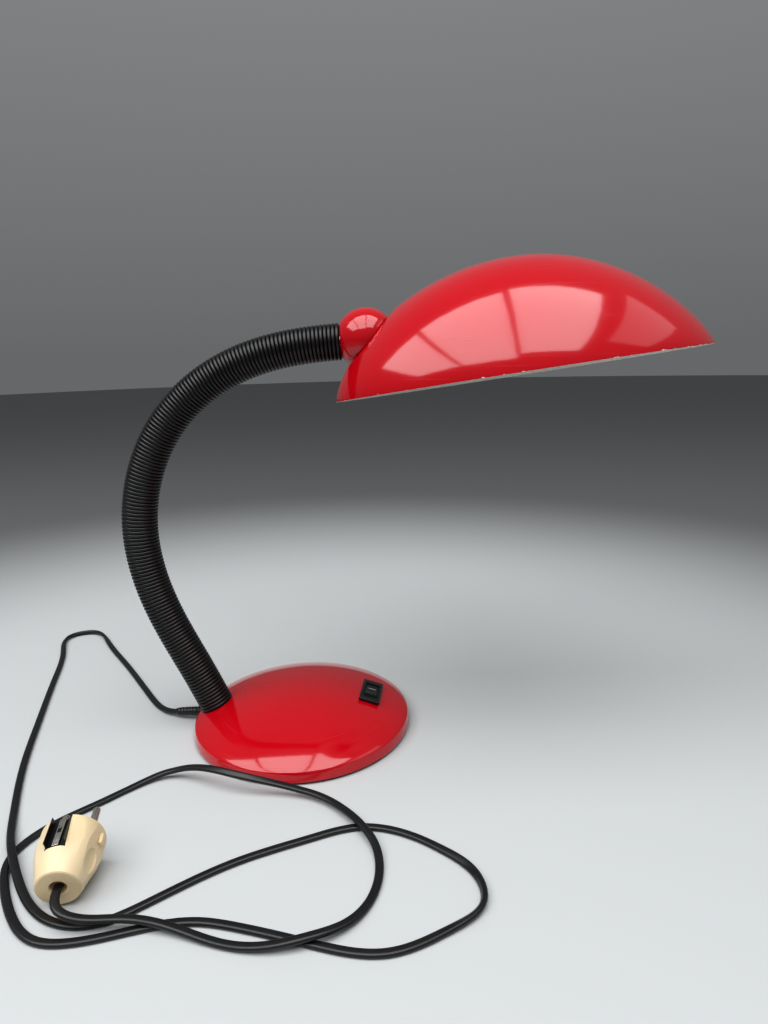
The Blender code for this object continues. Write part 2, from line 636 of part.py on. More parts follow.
cut_bracket_nipple = lathe("cut_bracket_nipple",
                           [(0, z1 - 2 * MM), (NIPPLE_R + GAP, z1 - 2 * MM),
                            (NIPPLE_R + GAP, z1 + 4 * MM), (0, z1 + 4 * MM)],
                           None, LAMP, 16, cutter=True)
cut(bracket, cut_bracket_stud)
cut(bracket, cut_bracket_nipple)
z2 = z1 + 1.5 * MM + GAP
hex_nut("tilt_nut", STUD_R + 1.5 * GAP, 7.5 * MM, z2, z2 + 5 * MM, STEEL, ALONG)
h0 = z2 + 8.5 * MM
lathe("holder_nipple", [(3.4 * MM, z1 - 1.4 * MM), (NIPPLE_R, z1 - 1.4 * MM),
                        (NIPPLE_R, h0 - GAP), (3.4 * MM, h0 - GAP)], BRASS,
      LAMP, 16, loop=True)
lathe("holder_cap", [(0, h0), (8 * MM, h0), (HOLDER_R - 3 * MM, h0 + 5 * MM),
                     (HOLDER_R, h0 + 12 * MM), (HOLDER_R, h0 + 18 * MM),
                     (0, h0 + 18 * MM)], BLACK_HARD, LAMP, 28)
h1 = h0 + 18 * MM + GAP
lathe("holder_skirt", [(14.6 * MM, h1), (HOLDER_R, h1),
                       (HOLDER_R, h1 + 20 * MM), (HOLDER_R - 2 * MM, h1 + 26 * MM),
                       (14.6 * MM, h1 + 26 * MM)], BLACK_HARD, LAMP, 28,
      loop=True)
lathe("holder_thread", [(13.5 * MM, h1 + GAP), (14.2 * MM, h1 + GAP),
                        (14.2 * MM, h1 + 22 * MM), (13.5 * MM, h1 + 22 * MM)],
      BRASS, LAMP, 28, loop=True)
lathe("holder_contact", [(0, h1 + GAP), (3.4 * MM, h1 + GAP),
                         (2.6 * MM, h1 + 2.4 * MM), (0, h1 + 2.8 * MM)], BRASS,
      LAMP, 16)
c0 = h1 + 3.3 * MM
lathe("bulb_cap", [(0, c0), (4 * MM, c0), (11.5 * MM, c0 + 3 * MM),
                   (13.0 * MM, c0 + 5 * MM), (13.0 * MM, c0 + 24 * MM),
                   (12.2 * MM, c0 + 24 * MM), (12.2 * MM, c0 + 5.4 * MM),
                   (11 * MM, c0 + 3.8 * MM), (0, c0 + 3.8 * MM)], NICKEL, LAMP,
      24)
g0 = c0 + 24 * MM + GAP
glass = [(0, g0), (12.4 * MM, g0)]
gc = g0 + 9 * MM + math.sqrt(BULB_R ** 2 - (12.8 * MM) ** 2)
a_neck = math.asin(12.8 * MM / BULB_R)
for k in range(11):
    a = math.pi - a_neck - (math.pi - a_neck) * k / 10
    glass.append((BULB_R * math.sin(a) if k < 10 else 0.0,
                  gc + BULB_R * math.cos(a)))
lathe("bulb_glass", glass, GLASS, LAMP, 24)

# ------------------------------------------------------ mains cord and plug
PLUG_REAR = Vector((-114.0 * MM, -194.0 * MM, PLUG_REAR_R + 1.4 * MM))
_lean = math.asin((PLUG_FRONT_R - PLUG_REAR_R) / PLUG_LEN)
PLUG_DIR = Vector((-0.14 * math.cos(_lean), 0.99 * math.cos(_lean),
                   math.sin(_lean))).normalized()
PLUG = aim(PLUG_REAR, PLUG_DIR, (0, 0, 1)) @ Matrix.Rotation(
    math.radians(-12.0), 4, 'Z')
plug = lathe("plug_body",
             [(0, 8 * MM), (4.6 * MM, 8 * MM), (4.6 * MM, 0),
              (PLUG_REAR_R - 1.5 * MM, 0), (PLUG_REAR_R, 1.5 * MM),
              (PLUG_REAR_R + 0.9 * MM, 8 * MM), (PLUG_FRONT_R - 1.2 * MM, 21 * MM),
              (PLUG_FRONT_R, 25 * MM), (PLUG_FRONT_R, PLUG_LEN - 1 * MM),
              (PLUG_FRONT_R - 1 * MM, PLUG_LEN), (0, PLUG_LEN)], IVORY, PLUG,
             36)
for k, side in enumerate((1, -1)):
    well = block("cut_earth_%d" % (k + 1),
                 (-6.0 * MM, side * 18.4 * MM - 4.2 * MM, PLUG_LEN - 21 * MM),
                 (6.0 * MM, side * 18.4 * MM + 4.2 * MM, PLUG_LEN + 2 * MM),
                 None, PLUG, True)
    cut(plug, well)
    block("plug_earth_clip_%d" % (k + 1),
          (-2.2 * MM, side * 15.5 * MM - 0.4 * MM, PLUG_LEN - 19 * MM),
          (2.2 * MM, side * 15.5 * MM + 0.4 * MM, PLUG_LEN - 0.6 * MM),
          NICKEL, PLUG)
    lathe("plug_pin_%d" % (k + 1),
          [(0, PLUG_LEN + GAP), (2.4 * MM, PLUG_LEN + GAP),
           (2.4 * MM, PLUG_LEN + 17 * MM), (1.4 * MM, PLUG_LEN + 19 * MM),
           (0, PLUG_LEN + 19 * MM)], NICKEL,
          PLUG @ Matrix.Translation((side * 9.5 * MM, 0, 0)), 16)

# Route of the cord in millimetres: out of the base, round the far side, twice
# round in front and into the back of the plug.
REST_Z = 2.8
OVER_Z = 8.4
CORD_ROUTE = [
    (-84.5, 7.4, 7.4), (-95, 8.3, 7.3), (-112, 14, 4.8), (-140, 44, REST_Z),
    (-188, 114, REST_Z), (-226, 168, REST_Z), (-254, 194, REST_Z),
    (-272, 186, REST_Z), (-266, 150, REST_Z), (-246, 88, REST_Z),
    (-221, 0, REST_Z), (-202, -62, REST_Z), (-185, -106, REST_Z),
    (-170, -139, 6.6), (-162, -153, OVER_Z), (-152, -168, 6.2),
    (-135, -189, REST_Z), (-116, -203, REST_Z), (-92, -206, REST_Z),
    (-68, -193, REST_Z), (-25, -163, REST_Z), (20, -143, REST_Z),
    (50, -134, REST_Z), (77, -140, REST_Z), (102, -157, REST_Z),
    (119, -178, REST_Z), (120, -199, REST_Z), (101, -215, REST_Z),
    (66, -229, REST_Z), (27, -222, REST_Z), (-14, -210, REST_Z),
    (-36, -206, REST_Z), (-62, -209, REST_Z), (-95, -217, REST_Z),
    (-118, -216, REST_Z), (-140, -198, REST_Z), (-155, -176, REST_Z),
    (-163, -153, REST_Z), (-157, -133, REST_Z), (-128, -102, REST_Z),
    (-108, -83, 3.4), (-91, -74, 7.0), (-67, -79, 13.0), (-38, -92, 15.0),
    (-8, -97, 11.0), (23, -106, 7.0), (40, -121, 7.4), (51, -136, OVER_Z),
    (60, -152, 6.0), (63, -172, 3.2), (58, -194, REST_Z), (45, -212, 5.6),
    (26, -222, OVER_Z), (6, -225, 6.0), (-16, -222, 3.6), (-38, -215, 5.2),
    (-61, -209, OVER_Z), (-79, -208, 8.6), (-97, -210, 10.0),
    (-109, -207, 12.8), (-113.3, -199, 14.1), (-114.2, -192, 14.7)]


def cord_line(points, count):
    """Points evenly spaced along a smooth curve through the route."""
    dense = natural_spline([[v * MM for v in p] for p in points], 2400)
    dense[:, 2] = np.maximum(dense[:, 2], REST_Z * MM)
    arc = np.concatenate([[0.0], np.cumsum(np.linalg.norm(
        np.diff(dense, axis=0), axis=1))])
    u = np.linspace(0.0, arc[-1], count)
    return np.stack([np.interp(u, arc, dense[:, k]) for k in range(3)], 1)


line = cord_line(CORD_ROUTE, 110)
curve = bpy.data.curves.new("cord", 'CURVE')
curve.dimensions = '3D'
curve.bevel_depth = CORD_R
curve.bevel_resolution = 2
curve.use_fill_caps = True
spline = curve.splines.new('POLY')
spline.points.add(len(line) - 1)
for point, co in zip(spline.points, line):
    point.co = (*co, 1.0)
place(bpy.data.objects.new("cord", curve), BLACK, Matrix.Identity(4))
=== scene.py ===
"""Looks of a red desk lamp on a flexible ribbed neck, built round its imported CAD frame."""
import math

import bmesh
import bpy
import numpy as np
from mathutils import Matrix, Vector


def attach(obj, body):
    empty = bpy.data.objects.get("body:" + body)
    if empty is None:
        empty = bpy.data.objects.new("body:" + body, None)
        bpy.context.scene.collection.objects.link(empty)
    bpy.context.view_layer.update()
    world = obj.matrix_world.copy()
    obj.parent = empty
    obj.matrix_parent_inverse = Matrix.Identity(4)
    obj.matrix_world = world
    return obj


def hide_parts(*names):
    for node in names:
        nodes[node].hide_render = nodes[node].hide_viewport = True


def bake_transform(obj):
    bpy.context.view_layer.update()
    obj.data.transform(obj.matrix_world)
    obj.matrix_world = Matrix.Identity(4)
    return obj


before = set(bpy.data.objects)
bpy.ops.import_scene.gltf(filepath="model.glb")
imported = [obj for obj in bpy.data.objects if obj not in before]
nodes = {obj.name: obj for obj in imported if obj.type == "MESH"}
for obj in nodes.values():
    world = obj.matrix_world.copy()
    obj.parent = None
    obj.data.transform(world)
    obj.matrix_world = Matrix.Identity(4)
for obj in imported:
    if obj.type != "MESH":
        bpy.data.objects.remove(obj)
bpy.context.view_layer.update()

# --- Camera -----------------------------------------------------------------
# Stands half a metre in front of the lamp at shade height and looks down on
# it, slightly rolled, as somebody standing at the table sees it.
CAMERA_AT, CAMERA_LENS = (0.0712, -0.5166, 0.300), 32.34
CAMERA_TILT, CAMERA_ROLL = math.radians(76.54), math.radians(-1.52)
camera = bpy.data.objects.new("camera", bpy.data.cameras.new("camera"))
camera.data.sensor_fit = 'HORIZONTAL'
camera.data.sensor_width = 36.0
camera.data.lens = CAMERA_LENS
camera.matrix_world = (Matrix.Translation(CAMERA_AT)
                       @ Matrix.Rotation(CAMERA_TILT, 4, 'X')
                       @ Matrix.Rotation(CAMERA_ROLL, 4, 'Z'))
bpy.context.scene.collection.objects.link(camera)
bpy.context.scene.camera = camera
bpy.context.scene.view_settings.view_transform = 'Standard'
bpy.context.scene.view_settings.look = 'Medium High Contrast'

# --- Mains cord -------------------------------------------------------------
# Flat two-core lead, black soft PVC over two cores side by side, 5.2 mm wide
# and 3.2 mm thick. It leaves the back of the base, goes round the far side
# and lies twice across the table in front before it enters the plug.
MM = 0.001
WELD = 2e-6               # vertices closer than this, in metres, become one
CORD_WIDE, CORD_THICK = 5.2, 3.2
CORD_BED = 2.8            # height of the round CAD cord where it lies flat
ONE_DEEP = 5.6            # lift of the round CAD cord where it crosses itself
CORD_ROUTE = [
    (-84.5, 7.4, 7.4), (-95, 8.3, 7.3), (-112, 14, 4.8), (-140, 44, 2.8),
    (-188, 114, 2.8), (-226, 168, 2.8), (-254, 194, 2.8), (-272, 186, 2.8),
    (-266, 150, 2.8), (-246, 88, 2.8), (-221, 0, 2.8), (-202, -62, 2.8),
    (-185, -106, 2.8), (-170, -139, 6.6), (-162, -153, 8.4),
    (-152, -168, 6.2), (-135, -189, 2.8), (-116, -203, 2.8),
    (-92, -206, 2.8), (-68, -193, 2.8), (-25, -163, 2.8), (20, -143, 2.8),
    (50, -134, 2.8), (77, -140, 2.8), (102, -157, 2.8), (119, -178, 2.8),
    (120, -199, 2.8), (101, -215, 2.8), (66, -229, 2.8), (27, -222, 2.8),
    (-14, -210, 2.8), (-36, -206, 2.8), (-62, -209, 2.8), (-95, -217, 2.8),
    (-118, -216, 2.8), (-140, -198, 2.8), (-155, -176, 2.8),
    (-163, -153, 2.8), (-157, -133, 2.8), (-128, -102, 2.8),
    (-108, -83, 3.4), (-91, -74, 7.0), (-67, -79, 13.0), (-38, -92, 15.0),
    (-8, -97, 11.0), (23, -106, 7.0), (40, -121, 7.4), (51, -136, 8.4),
    (60, -152, 6.0), (63, -172, 3.2), (58, -194, 2.8), (45, -212, 5.6),
    (26, -222, 8.4), (6, -225, 6.0), (-16, -222, 3.6), (-38, -215, 5.2),
    (-61, -209, 8.4), (-79, -208, 8.6), (-97, -210, 10.0),
    (-109, -207, 12.8), (-113.3, -199, 14.1), (-114.2, -192, 14.7)]
# Places where the flat lead stands partly on its edge: x, y, reach, degrees.
CORD_TWISTS = [(-255, 188, 34, 78), (121, -189, 28, 68), (-40, -92, 30, 35)]


def natural_spline(points, count):
    """Cubic through the points with free ends, spaced by chord length."""
    pts = np.array(points, float)
    t = np.concatenate([[0.0], np.cumsum(np.linalg.norm(
        np.diff(pts, axis=0), axis=1))])
    n, h = len(pts), np.diff(t)
    a, rhs = np.zeros((n, n)), np.zeros(pts.shape)
    a[0, 0] = a[-1, -1] = 1.0
    for i in range(1, n - 1):
        a[i, i - 1:i + 2] = h[i - 1], 2 * (h[i - 1] + h[i]), h[i]
        rhs[i] = 6 * ((pts[i + 1] - pts[i]) / h[i]
                      - (pts[i] - pts[i - 1]) / h[i - 1])
    m = np.linalg.solve(a, rhs)
    out = []
    for u in np.linspace(0.0, t[-1], count):
        i = min(np.searchsorted(t, u, side="right") - 1, n - 2)
        lo, hi = t[i + 1] - u, u - t[i]
        out.append((m[i] * lo ** 3 + m[i + 1] * hi ** 3) / (6 * h[i])
                   + (pts[i] / h[i] - m[i] * h[i] / 6) * lo
                   + (pts[i + 1] / h[i] - m[i + 1] * h[i] / 6) * hi)
    return np.array(out)


def along(line, step):
    """Points evenly spaced along a line, and their arc lengths."""
    arc = np.concatenate([[0.0], np.cumsum(np.linalg.norm(
        np.diff(line, axis=0), axis=1))])
    u = np.linspace(0.0, arc[-1], int(arc[-1] / step) + 1)
    return np.stack([np.interp(u, arc, line[:, k]) for k in range(3)], 1), u


def ease(x):
    """Smooth step from 0 to 1."""
    x = np.clip(x, 0.0, 1.0)
    return x * x * (3 - 2 * x)


cord_line, cord_arc = along(natural_spline(CORD_ROUTE, 3000), 3.5)
cord_line[:, 2] = np.maximum(cord_line[:, 2], CORD_BED)
twist = sum(np.radians(deg) * np.exp(-((cord_line[:, 0] - x) ** 2
            + (cord_line[:, 1] - y) ** 2) / reach ** 2)
            for x, y, reach, deg in CORD_TWISTS)
# The flat lead lies lower than the round one, except in its relief and plug.
free = ease((cord_arc - 12) / 50) * ease((cord_arc[-1] - 10 - cord_arc) / 60)
lift = cord_line[:, 2] - CORD_BED
lying = (CORD_THICK / 2 + (CORD_WIDE - CORD_THICK) / 2 * np.abs(np.sin(twist))
         + np.minimum(lift, ONE_DEEP) * 0.75
         + np.maximum(lift - ONE_DEEP, 0) * 1.15)
cord_line[:, 2] += (lying - cord_line[:, 2]) * free

HALF_ROUND = 10           # points on each of the two round edges
section = bpy.data.curves.new("cord_section", 'CURVE')
oval = section.splines.new('POLY')
oval.points.add(2 * HALF_ROUND - 1)
for k, point in enumerate(oval.points):
    side = 1 if k < HALF_ROUND else -1
    ang = (math.pi * (k % HALF_ROUND) / (HALF_ROUND - 1)
           + (math.pi if side < 0 else 0.0) - math.pi / 2)
    point.co = ((side * (CORD_WIDE - CORD_THICK) / 2
                 + CORD_THICK / 2 * math.cos(ang)) * MM,
                CORD_THICK / 2 * math.sin(ang) * MM, 0.0, 1.0)
oval.use_cyclic_u = True
section_shape = bpy.data.objects.new("cord_section", section)
lead = bpy.data.curves.new("cord_lead", 'CURVE')
lead.dimensions = '3D'
lead.twist_mode = 'Z_UP'
lead.bevel_mode = 'OBJECT'
lead.bevel_object = section_shape
lead.use_fill_caps = True
strand = lead.splines.new('POLY')
strand.points.add(len(cord_line) - 1)
for point, co, tilt in zip(strand.points, cord_line, twist):
    point.co = (*(co * MM), 1.0)
    point.tilt = tilt
lead_shape = bpy.data.objects.new("cord_lead", lead)
bpy.context.scene.collection.objects.link(lead_shape)
bpy.context.view_layer.update()
cord_mesh = bpy.data.meshes.new_from_object(
    lead_shape.evaluated_get(bpy.context.evaluated_depsgraph_get()))
bpy.data.objects.remove(lead_shape)
bpy.data.objects.remove(section_shape)


def linear(code):
    """An sRGB hex colour as linear red, green, blue and alpha."""
    parts = [int(code[i:i + 2], 16) / 255 for i in (1, 3, 5)]
    return (*[c / 12.92 if c <= 0.04045 else ((c + 0.055) / 1.055) ** 2.4
              for c in parts], 1.0)


def add_node(finish, kind, feeds=(), **settings):
    """Adds one node to a material; feeds maps its inputs to values or outputs."""
    made = finish.node_tree.nodes.new(kind)
    for key, value in settings.items():
        setattr(made, key, value)
    for key, value in dict(feeds).items():
        if isinstance(value, bpy.types.NodeSocket):
            finish.node_tree.links.new(value, made.inputs[key])
        else:
            made.inputs[key].default_value = value
    return made


def start_finish(name, **sockets):
    """A new material, its shader, and the place of a point on the piece."""
    finish = bpy.data.materials.new(name)
    finish.use_nodes = True
    shader = finish.node_tree.nodes["Principled BSDF"]
    for key, value in sockets.items():
        shader.inputs[key.replace("_", " ")].default_value = value
    place = add_node(finish, 'ShaderNodeTexCoord').outputs["Object"]
    return finish, shader, place


def noise(finish, place, scale, detail, **more):
    """Noise of about 1 / scale metres, from 0 to 1."""
    return add_node(finish, 'ShaderNodeTexNoise', {
        "Vector": place, "Scale": scale, "Detail": detail, **more}).outputs[0]


def tint(finish, factor, low, high):
    """A colour between two, where low and high are hex codes or outputs."""
    low, high = [linear(c) if isinstance(c, str) else c for c in (low, high)]
    return add_node(finish, 'ShaderNodeMix', {0: factor, 6: low, 7: high},
                    data_type='RGBA').outputs[2]


def spread(finish, value, low, high, start=0.0, end=1.0):
    """A value that runs from low to high while the input goes start to end."""
    return add_node(finish, 'ShaderNodeMapRange', {
        "Value": value, "From Min": start, "From Max": end,
        "To Min": low, "To Max": high}).outputs[0]


def relief_of(finish, height, strength, distance):
    """A surface normal roughened by a height."""
    return add_node(finish, 'ShaderNodeBump', {
        "Height": height, "Strength": strength,
        "Distance": distance}).outputs[0]


def feed(shader, **outputs):
    """Links outputs to the shader's inputs; an underscore is a space."""
    for key, output in outputs.items():
        shader.id_data.links.new(output, shader.inputs[key.replace("_", " ")])


# Soft PVC, extruded: an even satin black that picks up a little dust. Its
# grain of 0.3 mm is drawn at 2 mm so that it shows.
cord_pvc, shader, place = start_finish("soft_pvc_cord", IOR=1.53)
dust = noise(cord_pvc, place, 90.0, 5.0, Roughness=0.6)
grain = noise(cord_pvc, place, 500.0, 2.0)
feed(shader, Base_Color=tint(cord_pvc, dust, "#0A0A0B", "#17181A"),
     Roughness=spread(cord_pvc, dust, 0.30, 0.46),
     Normal=relief_of(cord_pvc, grain, 0.12, 0.0002))


def add_piece(name, shape, finish, body, crease=38.0):
    """Makes a finished piece of a bmesh or mesh and fixes it to a body."""
    if isinstance(shape, bmesh.types.BMesh):
        bmesh.ops.remove_doubles(shape, verts=shape.verts[:], dist=WELD)
        mesh = bpy.data.meshes.new(name)
        shape.to_mesh(mesh)
        shape.free()
    else:
        mesh = shape
    mesh.name = name
    mesh.materials.clear()
    mesh.materials.append(finish)
    mesh.polygons.foreach_set("use_smooth", [True] * len(mesh.polygons))
    mesh.set_sharp_from_angle(angle=math.radians(crease))
    piece = bpy.data.objects.new(name, mesh)
    bpy.context.scene.collection.objects.link(piece)
    if body:
        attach(piece, body)
    return piece


lead_work = bmesh.new()
lead_work.from_mesh(cord_mesh)
bmesh.ops.remove_doubles(lead_work, verts=lead_work.verts[:], dist=WELD)
bmesh.ops.holes_fill(lead_work, edges=lead_work.edges[:])
bmesh.ops.recalc_face_normals(lead_work, faces=lead_work.faces[:])
cord = add_piece("mains_cord", lead_work, cord_pvc, "base", 50)
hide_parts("cord")

# --- Strain relief ----------------------------------------------------------
# Soft black PVC moulding, 24 mm long, with a flange inside the wall of the
# base, a collar outside and a tapering ribbed sleeve that bends with the cord.
RELIEF = [(2.75, 0.0), (4.3, 0.0), (4.3, 0.9), (3.8, 1.1), (3.8, 2.3),
          (4.7, 2.5), (4.8, 2.9), (4.5, 3.6), (3.9, 4.0)]
for k in range(6):
    base_s, r = 4.9 + 2.9 * k, 3.8 - 0.12 * k
    RELIEF += [(r - 0.3, base_s - 0.4), (r - 0.3, base_s), (r, base_s + 0.3),
               (r - 0.04, base_s + 1.8), (r - 0.28, base_s + 2.1)]
RELIEF += [(2.9, 23.2), (2.75, 23.6)]


def turned(outline, steps, closed=False):
    """Spins an outline of radius and height in mm about the Z axis."""
    work = bmesh.new()
    verts = [work.verts.new((r * MM, 0.0, z * MM)) for r, z in outline]
    edges = [work.edges.new(pair) for pair in zip(verts, verts[1:])]
    if closed:
        edges.append(work.edges.new((verts[-1], verts[0])))
    bmesh.ops.spin(work, geom=verts + edges, cent=(0, 0, 0), axis=(0, 0, 1),
                   angle=2 * math.pi, steps=steps, use_merge=True)
    bmesh.ops.remove_doubles(work, verts=work.verts[:], dist=WELD)
    bmesh.ops.recalc_face_normals(work, faces=work.faces[:])
    return work


NEAR = 0.6                # mm each way over which a direction is measured
FIRST_S = 0.7             # mm; the cord is straight before this arc length


def frame_at(line, arc, s):
    """Place and direction on a line in mm at an arc length."""
    p = [np.array([np.interp(v, arc, line[:, k]) for k in range(3)])
         for v in (s - NEAR, s, s + NEAR)]
    t = Vector(p[2] - p[0]).normalized()
    return Vector(p[1]), t


relief = turned(RELIEF, 40, closed=True)
for v in relief.verts:
    s = v.co.z / MM
    p, t = frame_at(cord_line, cord_arc, max(s, FIRST_S))
    p = p + t * min(s - FIRST_S, 0.0)
    out = t.cross(Vector((0, 0, 1))).normalized()
    v.co = (p + out * (v.co.x / MM) + out.cross(t) * (v.co.y / MM)) * MM
bmesh.ops.recalc_face_normals(relief, faces=relief.faces[:])
relief = add_piece("cord_strain_relief", relief, cord_pvc, "base", 50)
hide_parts("cord_grommet")

# --- Base cover -------------------------------------------------------------
# A dish 175 mm across, deep-drawn from 1.2 mm steel sheet with its lower edge
# curled in, punched for the neck, switch and cord, and stove enamelled red.
BASE_R, WALL_R, WALL_Z, TOP_Z, EDGE_Z, SHEET = 87.5, 86.4, 9.5, 31.9, 1.8, 1.2


def dome_z(r, grow=0.0):
    """Height of the outside of the cover at a radius, in mm."""
    u = min(max(r / (WALL_R + grow), 0.0), 1.0)
    return WALL_Z + (TOP_Z + grow - WALL_Z) * (1.0 - u * u) ** 0.8


def dome_outline(grow, steps=44):
    """From the middle of the dome over its shoulder to the side wall."""
    return [((WALL_R + grow) * math.sin(0.5 * math.pi * i / steps),
             dome_z((WALL_R + grow) * math.sin(0.5 * math.pi * i / steps),
                    grow)) for i in range(steps + 1)]


cover_outline = (
    dome_outline(0.0)
    + [(WALL_R + 0.35, 7.2), (BASE_R - 0.35, 4.4), (BASE_R - 0.05, 2.6),
       (BASE_R - 0.15, 2.05), (BASE_R - 0.6, EDGE_Z), (BASE_R - 1.05, 2.05),
       (BASE_R - 1.2, 2.6), (BASE_R - 1.5, 4.4)]
    + dome_outline(-SHEET)[::-1])

# Stoved gloss enamel: deep red with a thick clear surface. Sprayed paint
# settles in a faint orange peel of 1 to 2 mm, drawn at 4 mm, and years of
# wiping leave hair scratches that only show where the surface shines.
enamel, shader, place = start_finish(
    "stoved_red_enamel", IOR=1.5, Coat_Weight=0.4, Coat_Roughness=0.05)
cloud = noise(enamel, place, 14.0, 3.0)
turn = add_node(enamel, 'ShaderNodeMapping', {
    "Vector": place, "Rotation": (0.05, 0.12, 0.3), "Scale": (6, 14, 900)})
hair = noise(enamel, turn.outputs[0], 1.0, 2.0)
peel = relief_of(enamel, noise(enamel, place, 240.0, 1.0), 0.05, 0.0003)
feed(shader, Base_Color=tint(enamel, cloud, "#B40013", "#C0041B"),
     Roughness=spread(enamel, hair, 0.12, 0.30, 0.62, 0.72),
     Normal=peel, Coat_Normal=peel)


def aim(origin, direction, side=(0.0, 1.0, 0.0)):
    """Matrix with local Z along a direction and local Y near 'side'."""
    z = Vector(direction).normalized()
    y = Vector(side)
    y = (y - z * y.dot(z)).normalized()
    m = Matrix((y.cross(z), y, z)).transposed().to_4x4()
    m.translation = Vector(origin)
    return m


def brick(lo, hi, place=Matrix.Identity(4), soften=0.0):
    """A box between two corners in mm, its edges rounded if asked."""
    work = bmesh.new()
    bmesh.ops.create_cube(work, size=1.0)
    size = Vector(hi) - Vector(lo)
    bmesh.ops.scale(work, vec=size * MM, verts=work.verts[:])
    bmesh.ops.translate(work, vec=(Vector(hi) + Vector(lo)) * 0.5 * MM,
                        verts=work.verts[:])
    if soften:
        bmesh.ops.bevel(work, geom=work.edges[:], offset=soften * MM,
                        segments=3, affect='EDGES', profile=0.5, material=-1)
    work.transform(place)
    return work


def carve(piece, tool, how='DIFFERENCE'):
    """Cuts a bmesh tool out of a finished piece."""
    mesh = bpy.data.meshes.new("tool")
    tool.to_mesh(mesh)
    tool.free()
    knife = bpy.data.objects.new("tool", mesh)
    bpy.context.scene.collection.objects.link(knife)
    step = piece.modifiers.new("cut", 'BOOLEAN')
    step.operation, step.solver, step.object = how, 'EXACT', knife
    bpy.context.view_layer.update()
    result = bpy.data.meshes.new_from_object(piece.evaluated_get(
        bpy.context.evaluated_depsgraph_get()))
    piece.modifiers.clear()
    piece.data = result
    bpy.data.objects.remove(knife)
    return piece


def rod(radius, lo, hi, steps):
    """A plain round rod between two heights in mm."""
    return turned([(0, lo), (radius, lo), (radius, hi), (0, hi)], steps)


def moved(work, place):
    """A bmesh put in its place."""
    work.transform(place)
    return work


# Centre line of the neck, in mm, in the lamp's own upright plane.
FOOT_X, BALL_C = 70.2, Vector((61.5, 0.0, 305.8))
NECK_RISE = math.radians(4.0)
NECK_REACH = 18.8         # from the end of the neck to the knuckle's middle
END_DIR = Vector((math.cos(NECK_RISE), 0.0, math.sin(NECK_RISE)))
NECK_END = BALL_C - END_DIR * NECK_REACH
neck_route = [(-FOOT_X, 0, dome_z(FOOT_X) - 0.5), (-85.0, 0, 53.0),
              (-99.5, 0, 85.5), (-112.0, 0, 122.0), (-117.4, 0, 165.0),
              (-108.0, 0, 214.0), (-81.5, 0, 257.0), (-36.5, 0, 288.6),
              (5.0, 0, 300.6), tuple(NECK_END - END_DIR * 12),
              tuple(NECK_END)]
neck_line = natural_spline(neck_route, 1200)
neck_arc = np.concatenate([[0.0], np.cumsum(np.linalg.norm(
    np.diff(neck_line, axis=0), axis=1))])
NECK_LEN = float(neck_arc[-1])


def neck_at(s):
    """Point, direction and upright normal on the neck; may run past its ends."""
    q = min(max(s, NEAR), NECK_LEN - NEAR)
    p, t = frame_at(neck_line, neck_arc, q)
    return p + t * (s - q), t, Vector((-t.z, 0.0, t.x))


root_p, root_t, _ = neck_at(0.0)
ROOT = aim(root_p * MM, root_t)
SWITCH_X, SWITCH_YAW = 56.5, math.radians(-6.2)
slope = (dome_z(SWITCH_X - 2) - dome_z(SWITCH_X + 2)) / 4
SWITCH = (Matrix.Translation((SWITCH_X * MM, 0.0, dome_z(SWITCH_X) * MM))
          @ Matrix.Rotation(math.atan(slope), 4, 'Y')
          @ Matrix.Rotation(SWITCH_YAW, 4, 'Z'))
EXIT_TURN, EXIT_R, EXIT_Z = math.radians(175), 86.6, 7.4
exit_dir = Vector((math.cos(EXIT_TURN), math.sin(EXIT_TURN), 0.0))
EXIT = aim(exit_dir * EXIT_R * MM + Vector((0, 0, EXIT_Z * MM)), exit_dir,
           (0, 0, 1))

cover = add_piece("base_shell", turned(cover_outline, 160, closed=True),
                  enamel, None, 50)
carve(cover, moved(rod(8.3, -25, 12, 32), ROOT))
carve(cover, moved(rod(4.0, -9, 6, 32), EXIT))
carve(cover, brick((-7.1, -15.0, -9), (7.1, 15.0, 9), SWITCH))
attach(cover, "base")
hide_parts("base_cover")

# --- Rocker switch ----------------------------------------------------------
# Snap-in mains switch, moulded in black nylon: a broad flat frame with a
# hollowed rocker that stands tipped towards the user when it is off.
HOUSE_X, HOUSE_Y, ROCK_X, ROCK_Y, ROCK_GAP = 8.4, 16.8, 5.4, 10.5, 0.5
HOLLOW_R = 46.0           # radius of the hollow across the rocker's top

# Moulded nylon: satin black with an eroded grain of about 1 mm.
nylon, shader, place = start_finish("moulded_black_nylon", IOR=1.53)
spark = noise(nylon, place, 900.0, 2.0)
feed(shader, Base_Color=tint(nylon, spark, "#0C0C0D", "#1B1B1D"),
     Roughness=spread(nylon, spark, 0.26, 0.40),
     Normal=relief_of(nylon, spark, 0.1, 0.0001))

housing = add_piece("switch_frame", brick(
    (-HOUSE_X, -HOUSE_Y, 0.35), (HOUSE_X, HOUSE_Y, 2.6), SWITCH, 0.55),
    nylon, None, 30)
carve(housing, brick((-6.9, -14.8, -12.5), (6.9, 14.8, 1.2), SWITCH), 'UNION')
carve(housing, brick((-ROCK_X - ROCK_GAP, -ROCK_Y - ROCK_GAP, -8.5),
                     (ROCK_X + ROCK_GAP, ROCK_Y + ROCK_GAP, 9), SWITCH))
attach(housing, "base")
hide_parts("switch_housing")

